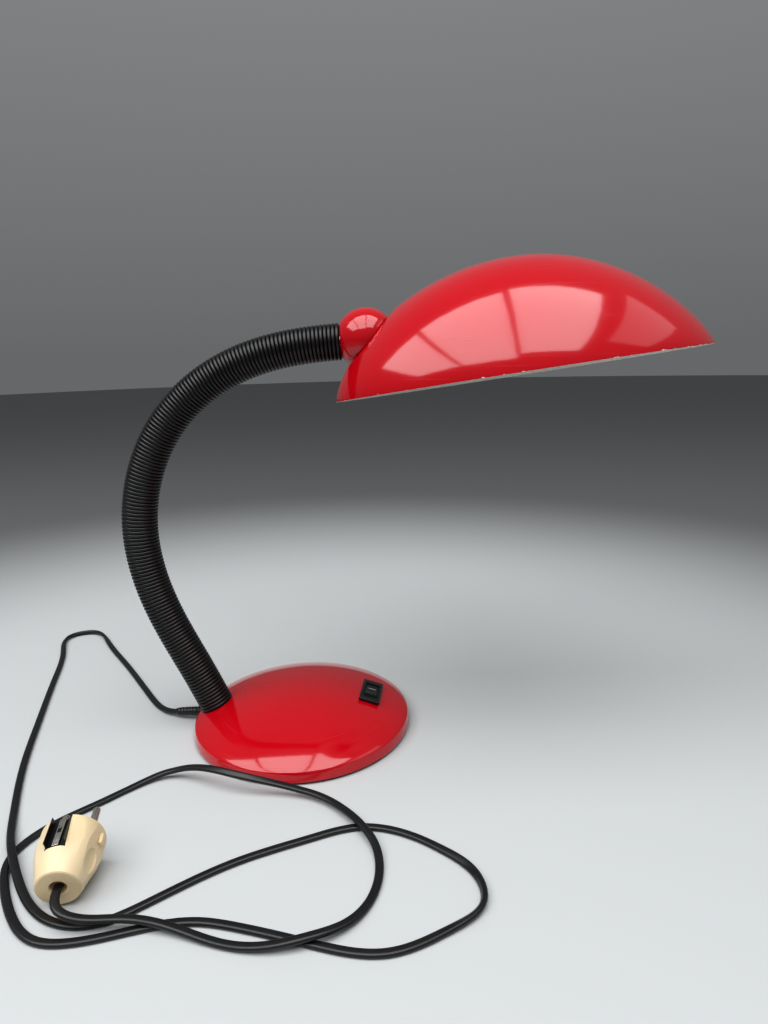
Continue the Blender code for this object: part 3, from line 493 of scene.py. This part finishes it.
ROCKER = (SWITCH @ Matrix.Translation((0, 0, 0.4 * MM))
          @ Matrix.Rotation(math.radians(-9), 4, 'X'))
rocker = add_piece("switch_rocker_key", brick(
    (-ROCK_X, -ROCK_Y, -3.4), (ROCK_X, ROCK_Y, 2.9), ROCKER, 0.45), nylon,
    None, 30)
above_key = Matrix.Translation((0, 0, (HOLLOW_R + 1.75) * MM))
carve(rocker, moved(rod(HOLLOW_R, -8, 8, 160), ROCKER @ above_key
                    @ Matrix.Rotation(math.pi / 2, 4, 'Y')))
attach(rocker, "rocker")
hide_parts("switch_rocker")

# A pale line across the rocker: a painted highlight, where the top edge of the hollowed rocker catches
# the window overhead, drawn as a thin bar of pale paint.
paint, shader, place = start_finish("painted_rocker_highlight", Roughness=0.45)
# The noise only makes the tone of this painted highlight slightly uneven.
worn = noise(paint, place, 1400.0, 2.0)
feed(shader, Base_Color=tint(paint, worn, "#8F908E", "#D3D4D2"))
highlight_bar = add_piece("switch_painted_highlight", brick((-3.4, 3.3, 1.9), (3.4, 3.9, 2.12),
                                      ROCKER, 0.08), paint, "rocker", 30)

# --- Flexible neck ----------------------------------------------------------
# A steel gooseneck inside a corrugated sleeve of black soft PVC, 26.6 mm
# across, with about 140 round ribs 2.8 mm apart. The sleeve is drawn in eight
# lengths that meet in the bottom of a groove, one over each CAD hinge.
NECK_R, SLEEVE_BORE, RIB_DEEP = 13.3, 9.2, 1.7
HINGES, RIBS, FOOT_RIBS = 8, 16, 24
FIRST_HINGE, LAST_STRETCH, BEND_REACH = 34.0, 46.0, 17
HINGE_STEP = (NECK_LEN - FIRST_HINGE - LAST_STRETCH) / (HINGES - 1)
PITCH = HINGE_STEP / RIBS

# Soft PVC, moulded: satin black, dusty in patches, with a faint grain of
# 0.5 mm drawn at 1.5 mm so that it shows.
sleeve_pvc, shader, place = start_finish("soft_pvc_sleeve", IOR=1.53)
dust = noise(sleeve_pvc, place, 60.0, 6.0, Roughness=0.65)
grain = noise(sleeve_pvc, place, 700.0, 2.0)
feed(shader, Base_Color=tint(sleeve_pvc, dust, "#060606", "#121213"),
     Roughness=spread(sleeve_pvc, dust, 0.26, 0.44),
     Normal=relief_of(sleeve_pvc, grain, 0.15, 0.0002))

for k in range(HINGES):
    hinge = FIRST_HINGE + HINGE_STEP * k
    lo, hi, ribs = hinge - HINGE_STEP / 2, hinge + HINGE_STEP / 2, RIBS
    if k == 0:
        ribs = FOOT_RIBS
        lo = hi - PITCH * ribs
    if k == HINGES - 1:
        ribs = round((NECK_LEN - lo) / PITCH)
        hi = NECK_LEN
    step = (hi - lo) / ribs
    outline = [(SLEEVE_BORE, lo), (NECK_R - RIB_DEEP, lo)]
    for j in range(ribs):
        for u in (0.05, 0.15, 0.3, 0.5, 0.7, 0.85, 0.95, 1.0):
            swell = max(1.0 - abs(2 * u - 1) ** 2.4, 0.0) ** 0.5
            outline.append((NECK_R - RIB_DEEP * (1 - swell),
                            lo + step * (j + u)))
    outline.append((SLEEVE_BORE, hi))
    sleeve = turned(outline, 60, closed=True)
    for v in sleeve.verts:
        p, t, n = neck_at(v.co.z / MM)
        v.co = p * MM + n * v.co.x + Vector((0, v.co.y, 0))
    bmesh.ops.recalc_face_normals(sleeve, faces=sleeve.faces[:])
    sleeve = add_piece("neck_sleeve_%d" % (k + 1), sleeve, sleeve_pvc, None,
                       60)
    if k == 0:
        carve(sleeve, turned(dome_outline(0.12) + [(BASE_R, 1.0), (0, 1.0)],
                             120))
    p, t, _ = neck_at(hinge)
    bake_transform(sleeve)
    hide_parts(*(["neck_link_0"] if k == 0 else [])
                + ["neck_link_%d" % (k + 1)])

# --- Knuckle ----------------------------------------------------------------
# Hollow ball 44.6 mm across, spun from steel and enamelled with the shade.
# The neck butts on its flat; the shade's stud leaves through a slot in front.
BALL_R, BALL_FLAT, CAVITY_R, BORE_R, SEAT_R = 22.3, 18.2, 17.6, 5.4, 8.8
FLAT_WALL, CAP_TURN = 1.6, math.radians(221)
BALL = (Matrix.Translation(BALL_C * MM)
        @ Matrix.Rotation(-NECK_RISE, 4, 'Y')
        @ Matrix.Rotation(math.radians(-4.5), 4, 'X'))
HEAD = BALL @ Matrix.Rotation(math.radians(-3.2), 4, 'Y')
FORWARD = aim((0, 0, 0), (1, 0, 0))
flat_edge = math.acos(BALL_FLAT / BALL_R)
seat_edge = math.asin(SEAT_R / CAVITY_R)
ball_outline = [(BORE_R, -BALL_FLAT)]
rim_r = BALL_R * math.sin(flat_edge)
ball_outline += [(rim_r - 0.75, -BALL_FLAT), (rim_r - 0.28, -BALL_FLAT + 0.1),
                 (rim_r + 0.12, -BALL_FLAT + 0.42)]
for k in range(1, 49):
    ang = flat_edge + 0.06 + (math.pi - flat_edge - 0.06) * k / 48
    ball_outline.append((BALL_R * math.sin(ang) if k < 48 else 0.0,
                         -BALL_R * math.cos(ang)))
for k in range(31):
    ang = math.pi - (math.pi - seat_edge) * k / 30
    ball_outline.append((CAVITY_R * math.sin(ang) if k else 0.0,
                         -CAVITY_R * math.cos(ang)))
ball_outline += [(SEAT_R, FLAT_WALL - BALL_FLAT),
                 (BORE_R, FLAT_WALL - BALL_FLAT)]
ball = add_piece("knuckle_shell", moved(turned(ball_outline, 96, closed=True),
                                        BALL @ FORWARD), enamel, None, 40)
carve(ball, brick((8, -4.7, -17.8), (30, 4.7, 16.4), BALL))
CAP = BALL @ aim((0, 0, 0), (math.cos(CAP_TURN), 0, math.sin(CAP_TURN)))
carve(ball, moved(rod(5.5, 10, 30, 48), CAP))
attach(ball, "knuckle")
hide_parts("knuckle_ball")

cap = add_piece("knuckle_plug", moved(turned(
    [(0, 18.2), (5.2, 18.2), (5.2, 19.3), (5.05, 19.65), (4.7, 19.8),
     (1.2, 19.8), (0.9, 19.5), (0, 19.5)], 48), CAP), enamel, "knuckle", 35)
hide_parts("knuckle_cap")

# --- Shade ------------------------------------------------------------------
# Boat-shaped reflector 273 mm long, pressed in one piece from 0.9 mm steel,
# with a pocket for the knuckle and a groove for the neck drawn into its tail.
# Red enamel outside, white inside, both worn to chips along the bare rim.
SHADE_A, SHADE_B, SHADE_H, SHADE_T = 136.45, 88.0, 82.0, 0.9
RIM_CX, DROP = 107.95, 41.6
POCKET_R, CHANNEL_R, CHANNEL_RISE = 28.0, 15.4, 0.14
TAIL_X, SOFT_EDGE, STEEP, RIM_BAND = 60, 5.0, 4, 9.0
FULLNESS, FULLER_TIP = 0.7175, 0.0575
GATHER = 0.68             # draws the grid's lines together at the tail
LEAN = math.radians(42.0)
ACROSS = Vector((math.cos(LEAN), 0, math.sin(LEAN)))
OUTWARD = Vector((-math.sin(LEAN), 0, math.cos(LEAN)))


def soft_min(a, b, k):
    """The smaller of two values, rounded over where they meet."""
    h = max(k - abs(a - b), 0.0) / k
    return min(a, b) - h * h * k / 4


def hollow_floor(d, radius):
    """Depth of a round hollow; outside its radius a steep wall goes up."""
    if d > radius:
        return (d - radius) * STEEP
    return -math.sqrt(radius ** 2 - d * d)


def shade_surface(u, v):
    """A point of the outer skin in mm from two numbers between 0 and 1."""
    rho = math.sin(0.5 * math.pi * v)
    ang = math.pi + 2 * math.pi * (u - GATHER * math.sin(2 * math.pi * u)
                                   / (2 * math.pi))
    xi, eta = rho * math.cos(ang), rho * math.sin(ang)
    q = FULLNESS + FULLER_TIP * math.sin(0.5 * math.pi * xi)
    h = SHADE_H * max(1.0 - rho * rho, 0.0) ** q
    p = Vector((RIM_CX + SHADE_A * xi, SHADE_B * eta, h - DROP))
    if p.x < TAIL_X:
        a, b, c = p.dot(ACROSS), p.y, p.dot(OUTWARD)
        o = soft_min(c, hollow_floor(math.hypot(a, b), POCKET_R), SOFT_EDGE)
        if a < 0:
            trough = hollow_floor(abs(b), CHANNEL_R) + CHANNEL_RISE * abs(a)
            o = soft_min(o, trough, SOFT_EDGE)
        fade = min(max(h / RIM_BAND, 0.0), 1.0)
        p = p + OUTWARD * (o - c) * fade * fade * (3 - 2 * fade)
    return p, h


skin = bmesh.new()
bmesh.ops.create_grid(skin, x_segments=260, y_segments=110, size=0.5)
above = skin.verts.layers.float.new("above_rim")
for v in skin.verts:
    p, h = shade_surface(v.co.x + 0.5, v.co.y + 0.5)
    v.co = p * MM
    v[above] = h
bmesh.ops.remove_doubles(skin, verts=skin.verts[:], dist=WELD)
bmesh.ops.recalc_face_normals(skin, faces=skin.faces[:])
if sum((f.normal.z * f.calc_area() for f in skin.faces)) < 0:
    bmesh.ops.reverse_faces(skin, faces=skin.faces[:])
skin.transform(HEAD)

# The same red enamel, chipped to white primer in specks of 1 to 3 mm along
# the rim, where the shade has been knocked.
worn_enamel = enamel.copy()
worn_enamel.name = "stoved_red_enamel_chipped_rim"
shader = worn_enamel.node_tree.nodes["Principled BSDF"]
place = worn_enamel.node_tree.nodes["Texture Coordinate"].outputs["Object"]
height = add_node(worn_enamel, 'ShaderNodeAttribute',
                  attribute_name="above_rim")
reach = spread(worn_enamel, height.outputs["Fac"], 0.63, 1.0, 0.2, 3.2)
chipped = add_node(worn_enamel, 'ShaderNodeMath', {
    0: noise(worn_enamel, place, 260.0, 2.0), 1: reach},
    operation='GREATER_THAN')
old_red = shader.inputs["Base Color"].links[0].from_socket
feed(shader, Base_Color=tint(worn_enamel, chipped.outputs[0], old_red,
                             "#D9D2CC"))

# White enamel, sprayed thin and matt so that it spreads the light: slightly
# yellowed, with a soft 5 mm mottling.
white, shader, place = start_finish("white_reflector_enamel", Roughness=0.42,
                                    IOR=1.5)
mottle = noise(white, place, 200.0, 3.0)
feed(shader, Base_Color=tint(white, mottle, "#DAD8D0", "#E6E5DE"),
     Normal=relief_of(white, mottle, 0.06, 0.0003))

shade = add_piece("shade_pressing", skin, worn_enamel, None, 180)
shade.data.materials.append(white)
wall = shade.modifiers.new("wall", 'SOLIDIFY')
wall.thickness, wall.offset = SHADE_T * MM, -1.0
wall.material_offset = wall.material_offset_rim = 1
bpy.context.view_layer.update()
shade.data = bpy.data.meshes.new_from_object(shade.evaluated_get(
    bpy.context.evaluated_depsgraph_get()))
shade.modifiers.clear()
shade.data.set_sharp_from_angle(angle=math.radians(50))
carve(shade, moved(rod(4.5, 22, 36, 32), HEAD @ FORWARD))
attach(shade, "head")
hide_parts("shade")

# --- Metal hardware ---------------------------------------------------------
# Screws, nuts, washers and the pressed plates: mild steel, zinc plated and
# passivated, a soft bluish grey with a crystalline spangle of about 2 mm.
zinc, shader, place = start_finish("zinc_plated_steel", Metallic=1.0)
spangle = add_node(zinc, 'ShaderNodeTexVoronoi', {
    "Vector": place, "Scale": 500.0})
feed(shader,
     Base_Color=tint(zinc, spangle.outputs["Color"], "#A9ABAD", "#C6C8C9"),
     Roughness=spread(zinc, spangle.outputs["Distance"], 0.28, 0.5))

# Brass, turned or pressed and left bare: yellow, with brown tarnish in
# patches a few millimetres across.
brass, shader, place = start_finish("bare_brass", Metallic=1.0)
tarnish = noise(brass, place, 260.0, 4.0)
feed(shader, Base_Color=tint(brass, tarnish, "#D8B56A", "#8E6C35"),
     Roughness=spread(brass, tarnish, 0.2, 0.5))

# Nickel plate on brass: bright, warm grey, finely rubbed.
nickel, shader, place = start_finish("nickel_plate", Metallic=1.0)
rubbed = noise(nickel, place, 400.0, 4.0)
feed(shader, Base_Color=tint(nickel, rubbed, "#C9C4BA", "#E4E0D8"),
     Roughness=spread(nickel, rubbed, 0.14, 0.34))

# --- Tilting joint ----------------------------------------------------------
# A turned brass ball inside the knuckle with a stud of 8 mm, which carries
# the shade: washer and hexagon nut in zinc plated steel clamp the shade.
core_r, core_flat, STUD_R, ROOT_R = CAVITY_R - 0.4, -5.0, 4.0, 3.65
core = [(0, 8), (10, 8), (12, 6), (12, core_flat)]
from_a, to_a = math.acos(-core_flat / core_r), math.asin(STUD_R / core_r)
for k in range(25):
    ang = from_a + (math.pi - to_a - from_a) * k / 24
    core.append((core_r * math.sin(ang), -core_r * math.cos(ang)))
for k in range(22):
    core += [(ROOT_R, 18.0 + k), (STUD_R, 18.5 + k)]
core += [(3.4, 40.4), (3.0, 41.0), (0, 41.0)]
stud = add_piece("tilt_ball_stud", moved(turned(core, 64), HEAD @ FORWARD),
                 brass, "head", 40)
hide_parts("tilt_ball")

WASHER_T, BRACKET_T, FIT = 1.5, 1.5, 0.3
washer_z = POCKET_R + SHADE_T + 0.7
washer = add_piece("tilt_washer_ring", moved(turned(
    [(4.3, washer_z), (7.2, washer_z), (7.5, washer_z + 0.3), (7.5, washer_z + 1.2),
     (7.2, washer_z + WASHER_T), (4.3, washer_z + WASHER_T)], 64, closed=True),
    HEAD @ FORWARD), zinc, "head", 35)
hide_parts("tilt_washer")


def hexagon_nut(bore, corner, lo, hi):
    """A nut with chamfered corners round a plain bore."""
    work = turned([(bore, lo), (corner * 0.87, lo), (corner * 1.02, lo + 0.8),
                   (corner * 1.02, hi - 0.8), (corner * 0.87, hi),
                   (bore, hi)], 72, closed=True)
    for v in work.verts:
        r = math.hypot(v.co.x, v.co.y)
        ang = math.atan2(v.co.y, v.co.x)
        off = (ang + math.pi / 6) % (math.pi / 3) - math.pi / 6
        most = corner * 0.866 / math.cos(off) * MM
        if r > most and r > bore * 1.2 * MM:
            v.co.x *= most / r
            v.co.y *= most / r
    bmesh.ops.recalc_face_normals(work, faces=work.faces[:])
    return work


nut_z = washer_z + WASHER_T + FIT + BRACKET_T + FIT
nut = add_piece("tilt_nut_hexagon", moved(hexagon_nut(4.45, 7.5, nut_z, nut_z + 5),
                                          HEAD @ FORWARD), zinc, "head", 30)
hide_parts("tilt_nut")

# --- Lamp holder ------------------------------------------------------------
# Two-part screw holder in black moulding on a hollow nipple: domed cap with
# grip flutes, skirt with a rolled mouth. Thread and contact are brass.
HOLDER_Z = -13.0
LAMP = HEAD @ aim((0, 0, HOLDER_Z * MM), (1, 0, 0))
dome_at = nut_z + 8.5
cap_work = turned([(0, dome_at), (7.4, dome_at), (8.0, dome_at + 0.4), (11, dome_at + 1.6),
                   (14.5, dome_at + 3.6), (17.2, dome_at + 6.4), (18.8, dome_at + 9.2),
                   (19.4, dome_at + 12), (19.4, dome_at + 16.8), (19.1, dome_at + 17.6),
                   (18.6, dome_at + 18), (0, dome_at + 18)], 144)
for v in cap_work.verts:
    r, z = math.hypot(v.co.x, v.co.y), v.co.z / MM - dome_at
    if r > 17.5 * MM and 8.5 < z < 17.2:
        dip = 0.35 * (0.5 + 0.5 * math.cos(36 * math.atan2(v.co.y, v.co.x)))
        v.co.x *= 1 - dip * MM / r
        v.co.y *= 1 - dip * MM / r
holder_cap = add_piece("holder_dome", moved(cap_work, LAMP), nylon, "head")
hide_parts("holder_cap")
sleeve_at = dome_at + 18.3
skirt = add_piece("holder_sleeve", moved(turned(
    [(14.6, sleeve_at), (18.7, sleeve_at), (19.2, sleeve_at + 0.4), (19.4, sleeve_at + 1.2),
     (19.4, sleeve_at + 3), (18.9, sleeve_at + 3.4), (18.9, sleeve_at + 4), (19.4, sleeve_at + 4.4),
     (19.4, sleeve_at + 20), (18.4, sleeve_at + 23), (17.6, sleeve_at + 25.3), (17.1, sleeve_at + 25.9),
     (16.4, sleeve_at + 26), (14.9, sleeve_at + 25.7), (14.6, sleeve_at + 25)], 96, closed=True),
    LAMP), nylon, "head")
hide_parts("holder_skirt")

# --- Bulb -------------------------------------------------------------------
# Small round opal bulb of 45 mm with a nickel plated screw cap; the glass is
# frosted white inside, so it looks milky with a clear outer shine.
cap_at = sleeve_at + 3.3
cap_line = [(0, cap_at), (4, cap_at), (8.5, cap_at + 1.5), (11.6, cap_at + 3.0),
            (12.6, cap_at + 4.2)]
for k in range(6):
    cap_line += [(12.95, cap_at + 5.6 + 3 * k), (12.95, cap_at + 6.6 + 3 * k),
                 (12.3, cap_at + 7.4 + 3 * k), (12.3, cap_at + 8.0 + 3 * k)]
cap_line = [q for q in cap_line if q[1] < cap_at + 23.4]
cap_line += [(12.95, cap_at + 24), (12.2, cap_at + 24), (12.0, cap_at + 5.4),
             (11, cap_at + 3.8), (0, cap_at + 3.8)]
bulb_cap = add_piece("bulb_screw_cap", moved(turned(cap_line, 72), LAMP),
                     nickel, "head")
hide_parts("bulb_cap")

opal, shader, place = start_finish(
    "opal_glass", Roughness=0.16, IOR=1.5, Coat_Weight=0.6,
    Subsurface_Weight=0.25, Subsurface_Scale=0.004)
milk = noise(opal, place, 70.0, 3.0)
feed(shader, Base_Color=tint(opal, milk, "#E9E7E0", "#F4F3EE"))
BULB_R = 22.5
glass_at = cap_at + 24.3
centre = glass_at + 9 + math.sqrt(BULB_R ** 2 - 12.8 ** 2)
neck_a = math.asin(12.8 / BULB_R)
glass_line = [(0, glass_at), (12.0, glass_at), (12.4, glass_at + 0.5), (12.45, glass_at + 4)]
for k in range(40):
    ang = math.pi - neck_a - (math.pi - neck_a) * k / 39
    glass_line.append((BULB_R * math.sin(ang) if k < 39 else 0.0,
                       centre + BULB_R * math.cos(ang)))
bulb = add_piece("bulb_globe", moved(turned(glass_line, 96), LAMP), opal,
                 "head", 60)
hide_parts("bulb_glass")

# --- Mains plug -------------------------------------------------------------
# Two-pin earthed plug, moulded in ivory plastic: round face, grip flattened
# on its sides with an oval finger hollow each, two spring earth contacts in
# wells, hollow rear end that the cord goes into.
REAR_R, FRONT_R, PLUG_LEN = 13.0, 18.5, 35.0
lean = math.asin((FRONT_R - REAR_R) / PLUG_LEN)
PLUG = (aim(Vector((-114.0, -194.0, REAR_R + 1.4)) * MM,
            Vector((-0.14 * math.cos(lean), 0.99 * math.cos(lean),
                    math.sin(lean))).normalized(), (0, 0, 1))
        @ Matrix.Rotation(math.radians(-12.0), 4, 'Z'))
ivory, shader, place = start_finish(
    "moulded_ivory_plastic", IOR=1.5, Subsurface_Weight=0.08,
    Subsurface_Scale=0.003)
aged = noise(ivory, place, 55.0, 4.0)
feed(shader, Base_Color=tint(ivory, aged, "#DCC59C", "#E9D6B2"),
     Roughness=spread(ivory, aged, 0.28, 0.42),
     Normal=relief_of(ivory, aged, 0.08, 0.0004))

shell = turned([(0, 8), (4.6, 8), (4.6, 0.8), (5.2, 0.1), (11.6, 0),
                (12.5, 0.4), (13.0, 1.5), (14.6, 7.6), (17.6, 17.5),
                (18.3, 21.5), (18.5, 25), (18.5, 34.0), (18.2, 34.7),
                (17.5, 35), (0, 35)], 96)
for ang, out, tip in ((0, 13.9, 9), (180, 13.9, 9), (62, 15.3, 7),
                      (118, 15.3, 7), (242, 15.3, 7), (298, 15.3, 7)):
    a, b = math.radians(ang), math.radians(tip)
    normal = Vector((math.cos(a) * math.cos(b), math.sin(a) * math.cos(b),
                     -math.sin(b)))
    at = Vector((math.cos(a) * out, math.sin(a) * out, 8.0)) * MM
    cut = bmesh.ops.bisect_plane(
        shell, geom=shell.verts[:] + shell.edges[:] + shell.faces[:],
        plane_co=at, plane_no=normal, clear_outer=True)
    rim = [e for e in cut["geom_cut"] if isinstance(e, bmesh.types.BMEdge)]
    bmesh.ops.holes_fill(shell, edges=rim)
plug = add_piece("plug_shell", moved(shell, PLUG), ivory, None, 22)
for side in (1, -1):
    carve(plug, brick((-6.0, side * 18.4 - 4.2, 14),
                      (6.0, side * 18.4 + 4.2, 37), PLUG))
    hollow = bmesh.new()
    bmesh.ops.create_uvsphere(hollow, u_segments=48, v_segments=24,
                              radius=1.0)
    bmesh.ops.scale(hollow, vec=Vector((2.3, 5.6, 7.4)) * MM,
                    verts=hollow.verts[:])
    carve(plug, moved(hollow, PLUG @ Matrix.Translation(
        Vector((side * 15.3, 0, 13.5)) * MM)
        @ Matrix.Rotation(side * math.radians(9), 4, 'Y')))
    carve(plug, brick((side * 18.2 - 1.1, -1.3, 24), (side * 18.2 + 1.1, 1.3,
                                                     31), PLUG, 0.5), 'UNION')
plug.data.set_sharp_from_angle(angle=math.radians(24))
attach(plug, "base")
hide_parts("plug_body")

for k, side in enumerate((1, -1)):
    liner = add_piece("earth_well_lining_%d" % (k + 1), brick(
        (-5.9, side * 14.5 - 0.25, 14.4), (5.9, side * 14.5 + 0.25, 34.8),
        PLUG), nylon, None, 30)
    for edge in (-1, 1):
        carve(liner, brick((edge * 5.65 - 0.25, side * 16.4 - 2.1, 16.4),
                           (edge * 5.65 + 0.25, side * 16.4 + 2.1, 34.8),
                           PLUG), 'UNION')
    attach(liner, "base")
for k, side in enumerate((1, -1)):
    spring = add_piece("earth_spring_%d" % (k + 1), brick(
        (-2.0, side * 15.6 - 0.45, 15.6), (2.0, side * 15.6 + 0.45, 34.6),
        PLUG, 0.2), nickel, None, 30)
    dent = PLUG @ Matrix.Translation(Vector((0, side * 17.0, 27)) * MM)
    carve(spring, moved(rod(2.6, -1.2, 1.2, 32), dent @ FORWARD))
    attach(spring, "base")
    pin = add_piece("contact_pin_%d" % (k + 1), moved(turned(
        [(0, PLUG_LEN + 0.3), (2.4, PLUG_LEN + 0.3), (2.4, PLUG_LEN + 16.6),
         (2.2, PLUG_LEN + 17.8), (1.6, PLUG_LEN + 18.7),
         (0.8, PLUG_LEN + 19), (0, PLUG_LEN + 19)], 40),
        PLUG @ Matrix.Translation((side * 9.5 * MM, 0, 0))), nickel, "base")
    for piece, name in ((spring, "plug_earth_clip_"), (pin, "plug_pin_")):
        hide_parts(name + str(k + 1))

# --- What stays as it is ----------------------------------------------------
# Plate, iron weight, foam pad, screws, terminals and the neck's steel ends:
# their CAD shapes are right, and each gets the finish of its own metal,
# rubber or moulding.
iron, shader, place = start_finish("cast_iron", Metallic=1.0, Roughness=0.7)
sand = noise(iron, place, 900.0, 4.0)
feed(shader, Base_Color=tint(iron, sand, "#3B3A3A", "#5A4B42"),
     Normal=relief_of(iron, sand, 0.5, 0.0004))

foam, shader, place = start_finish("foam_rubber", Roughness=0.92, IOR=1.5)
cells = add_node(foam, 'ShaderNodeTexVoronoi', {
    "Vector": place, "Scale": 1100.0}).outputs["Distance"]
feed(shader, Base_Color=tint(foam, cells, "#161616", "#34332F"),
     Normal=relief_of(foam, cells, 0.6, 0.0005))

urea, shader, place = start_finish("white_moulding", Roughness=0.35, IOR=1.5)
aged = noise(urea, place, 120.0, 3.0)
feed(shader, Base_Color=tint(urea, aged, "#D9D6CD", "#ECEAE3"))

left_over = {
    zinc: ["base_plate", "base_screw_1", "base_screw_2", "base_screw_3",
           "neck_root_bolt", "neck_root_washer", "neck_root_nut",
           "neck_end_ferrule", "neck_end_nut", "holder_bracket"],
    iron: ["base_weight"], foam: ["base_pad"], urea: ["terminal_block"],
    nylon: ["cord_grip"],
    brass: ["switch_terminal_1", "switch_terminal_2", "holder_nipple",
            "holder_thread", "holder_contact"]}
for finish, names in left_over.items():
    for name in names:
        for spot in nodes[name].material_slots:
            spot.material = finish

# --- Floor and light --------------------------------------------------------
# Plain pale table top, which turns grey from a third of a metre out to a
# whole one, grey walls, and a large soft window of four panes overhead.
floor_work = bmesh.new()
bmesh.ops.create_circle(floor_work, cap_ends=True, radius=6.0, segments=96)
floor_finish, shader, place = start_finish("plain_table_top", Roughness=0.55)
shader.inputs["Specular IOR Level"].default_value = 0.25
far = add_node(floor_finish, 'ShaderNodeVectorMath', {0: place},
               operation='LENGTH')
fading = add_node(floor_finish, 'ShaderNodeMapRange', {
    "Value": far.outputs["Value"], "From Min": 0.34, "From Max": 0.95},
    interpolation_type='SMOOTHSTEP')
feed(shader, Base_Color=tint(floor_finish, fading.outputs[0], "#BFC2C3",
                             "#6E6F70"))
floor = add_piece("table_top", floor_work, floor_finish, None)

world = bpy.data.worlds.new("room")
world.use_nodes = True
sky = add_node(world, 'ShaderNodeTexCoord').outputs["Generated"]
upward = add_node(world, 'ShaderNodeSeparateXYZ', {0: sky})
rising = spread(world, upward.outputs["Z"], 0.0, 1.0, 0.0, 0.55)
feed(world.node_tree.nodes["Background"],
     Color=tint(world, rising, "#68696A", "#878889"))
bpy.context.scene.world = world


def pane(name, left, right, near, far, watts):
    """One pane of the window, 1.7 m above the table, in watts per m2."""
    light = bpy.data.lights.new(name, 'AREA')
    light.shape = 'RECTANGLE'
    light.size, light.size_y = right - left, far - near
    light.energy = watts * light.size * light.size_y
    made = bpy.data.objects.new(name, light)
    made.location = ((left + right) / 2, (near + far) / 2, 1.7)
    bpy.context.scene.collection.objects.link(made)
    return made


pane("window_left", -2.1, -0.88, -1.7, 0.05, 11)
pane("window_middle", -0.80, 0.09, -1.75, 0.08, 11)
pane("window_right", 0.15, 0.97, -1.5, 0.12, 11)
pane("window_end", 1.25, 2.2, -1.0, 0.4, 2.5)
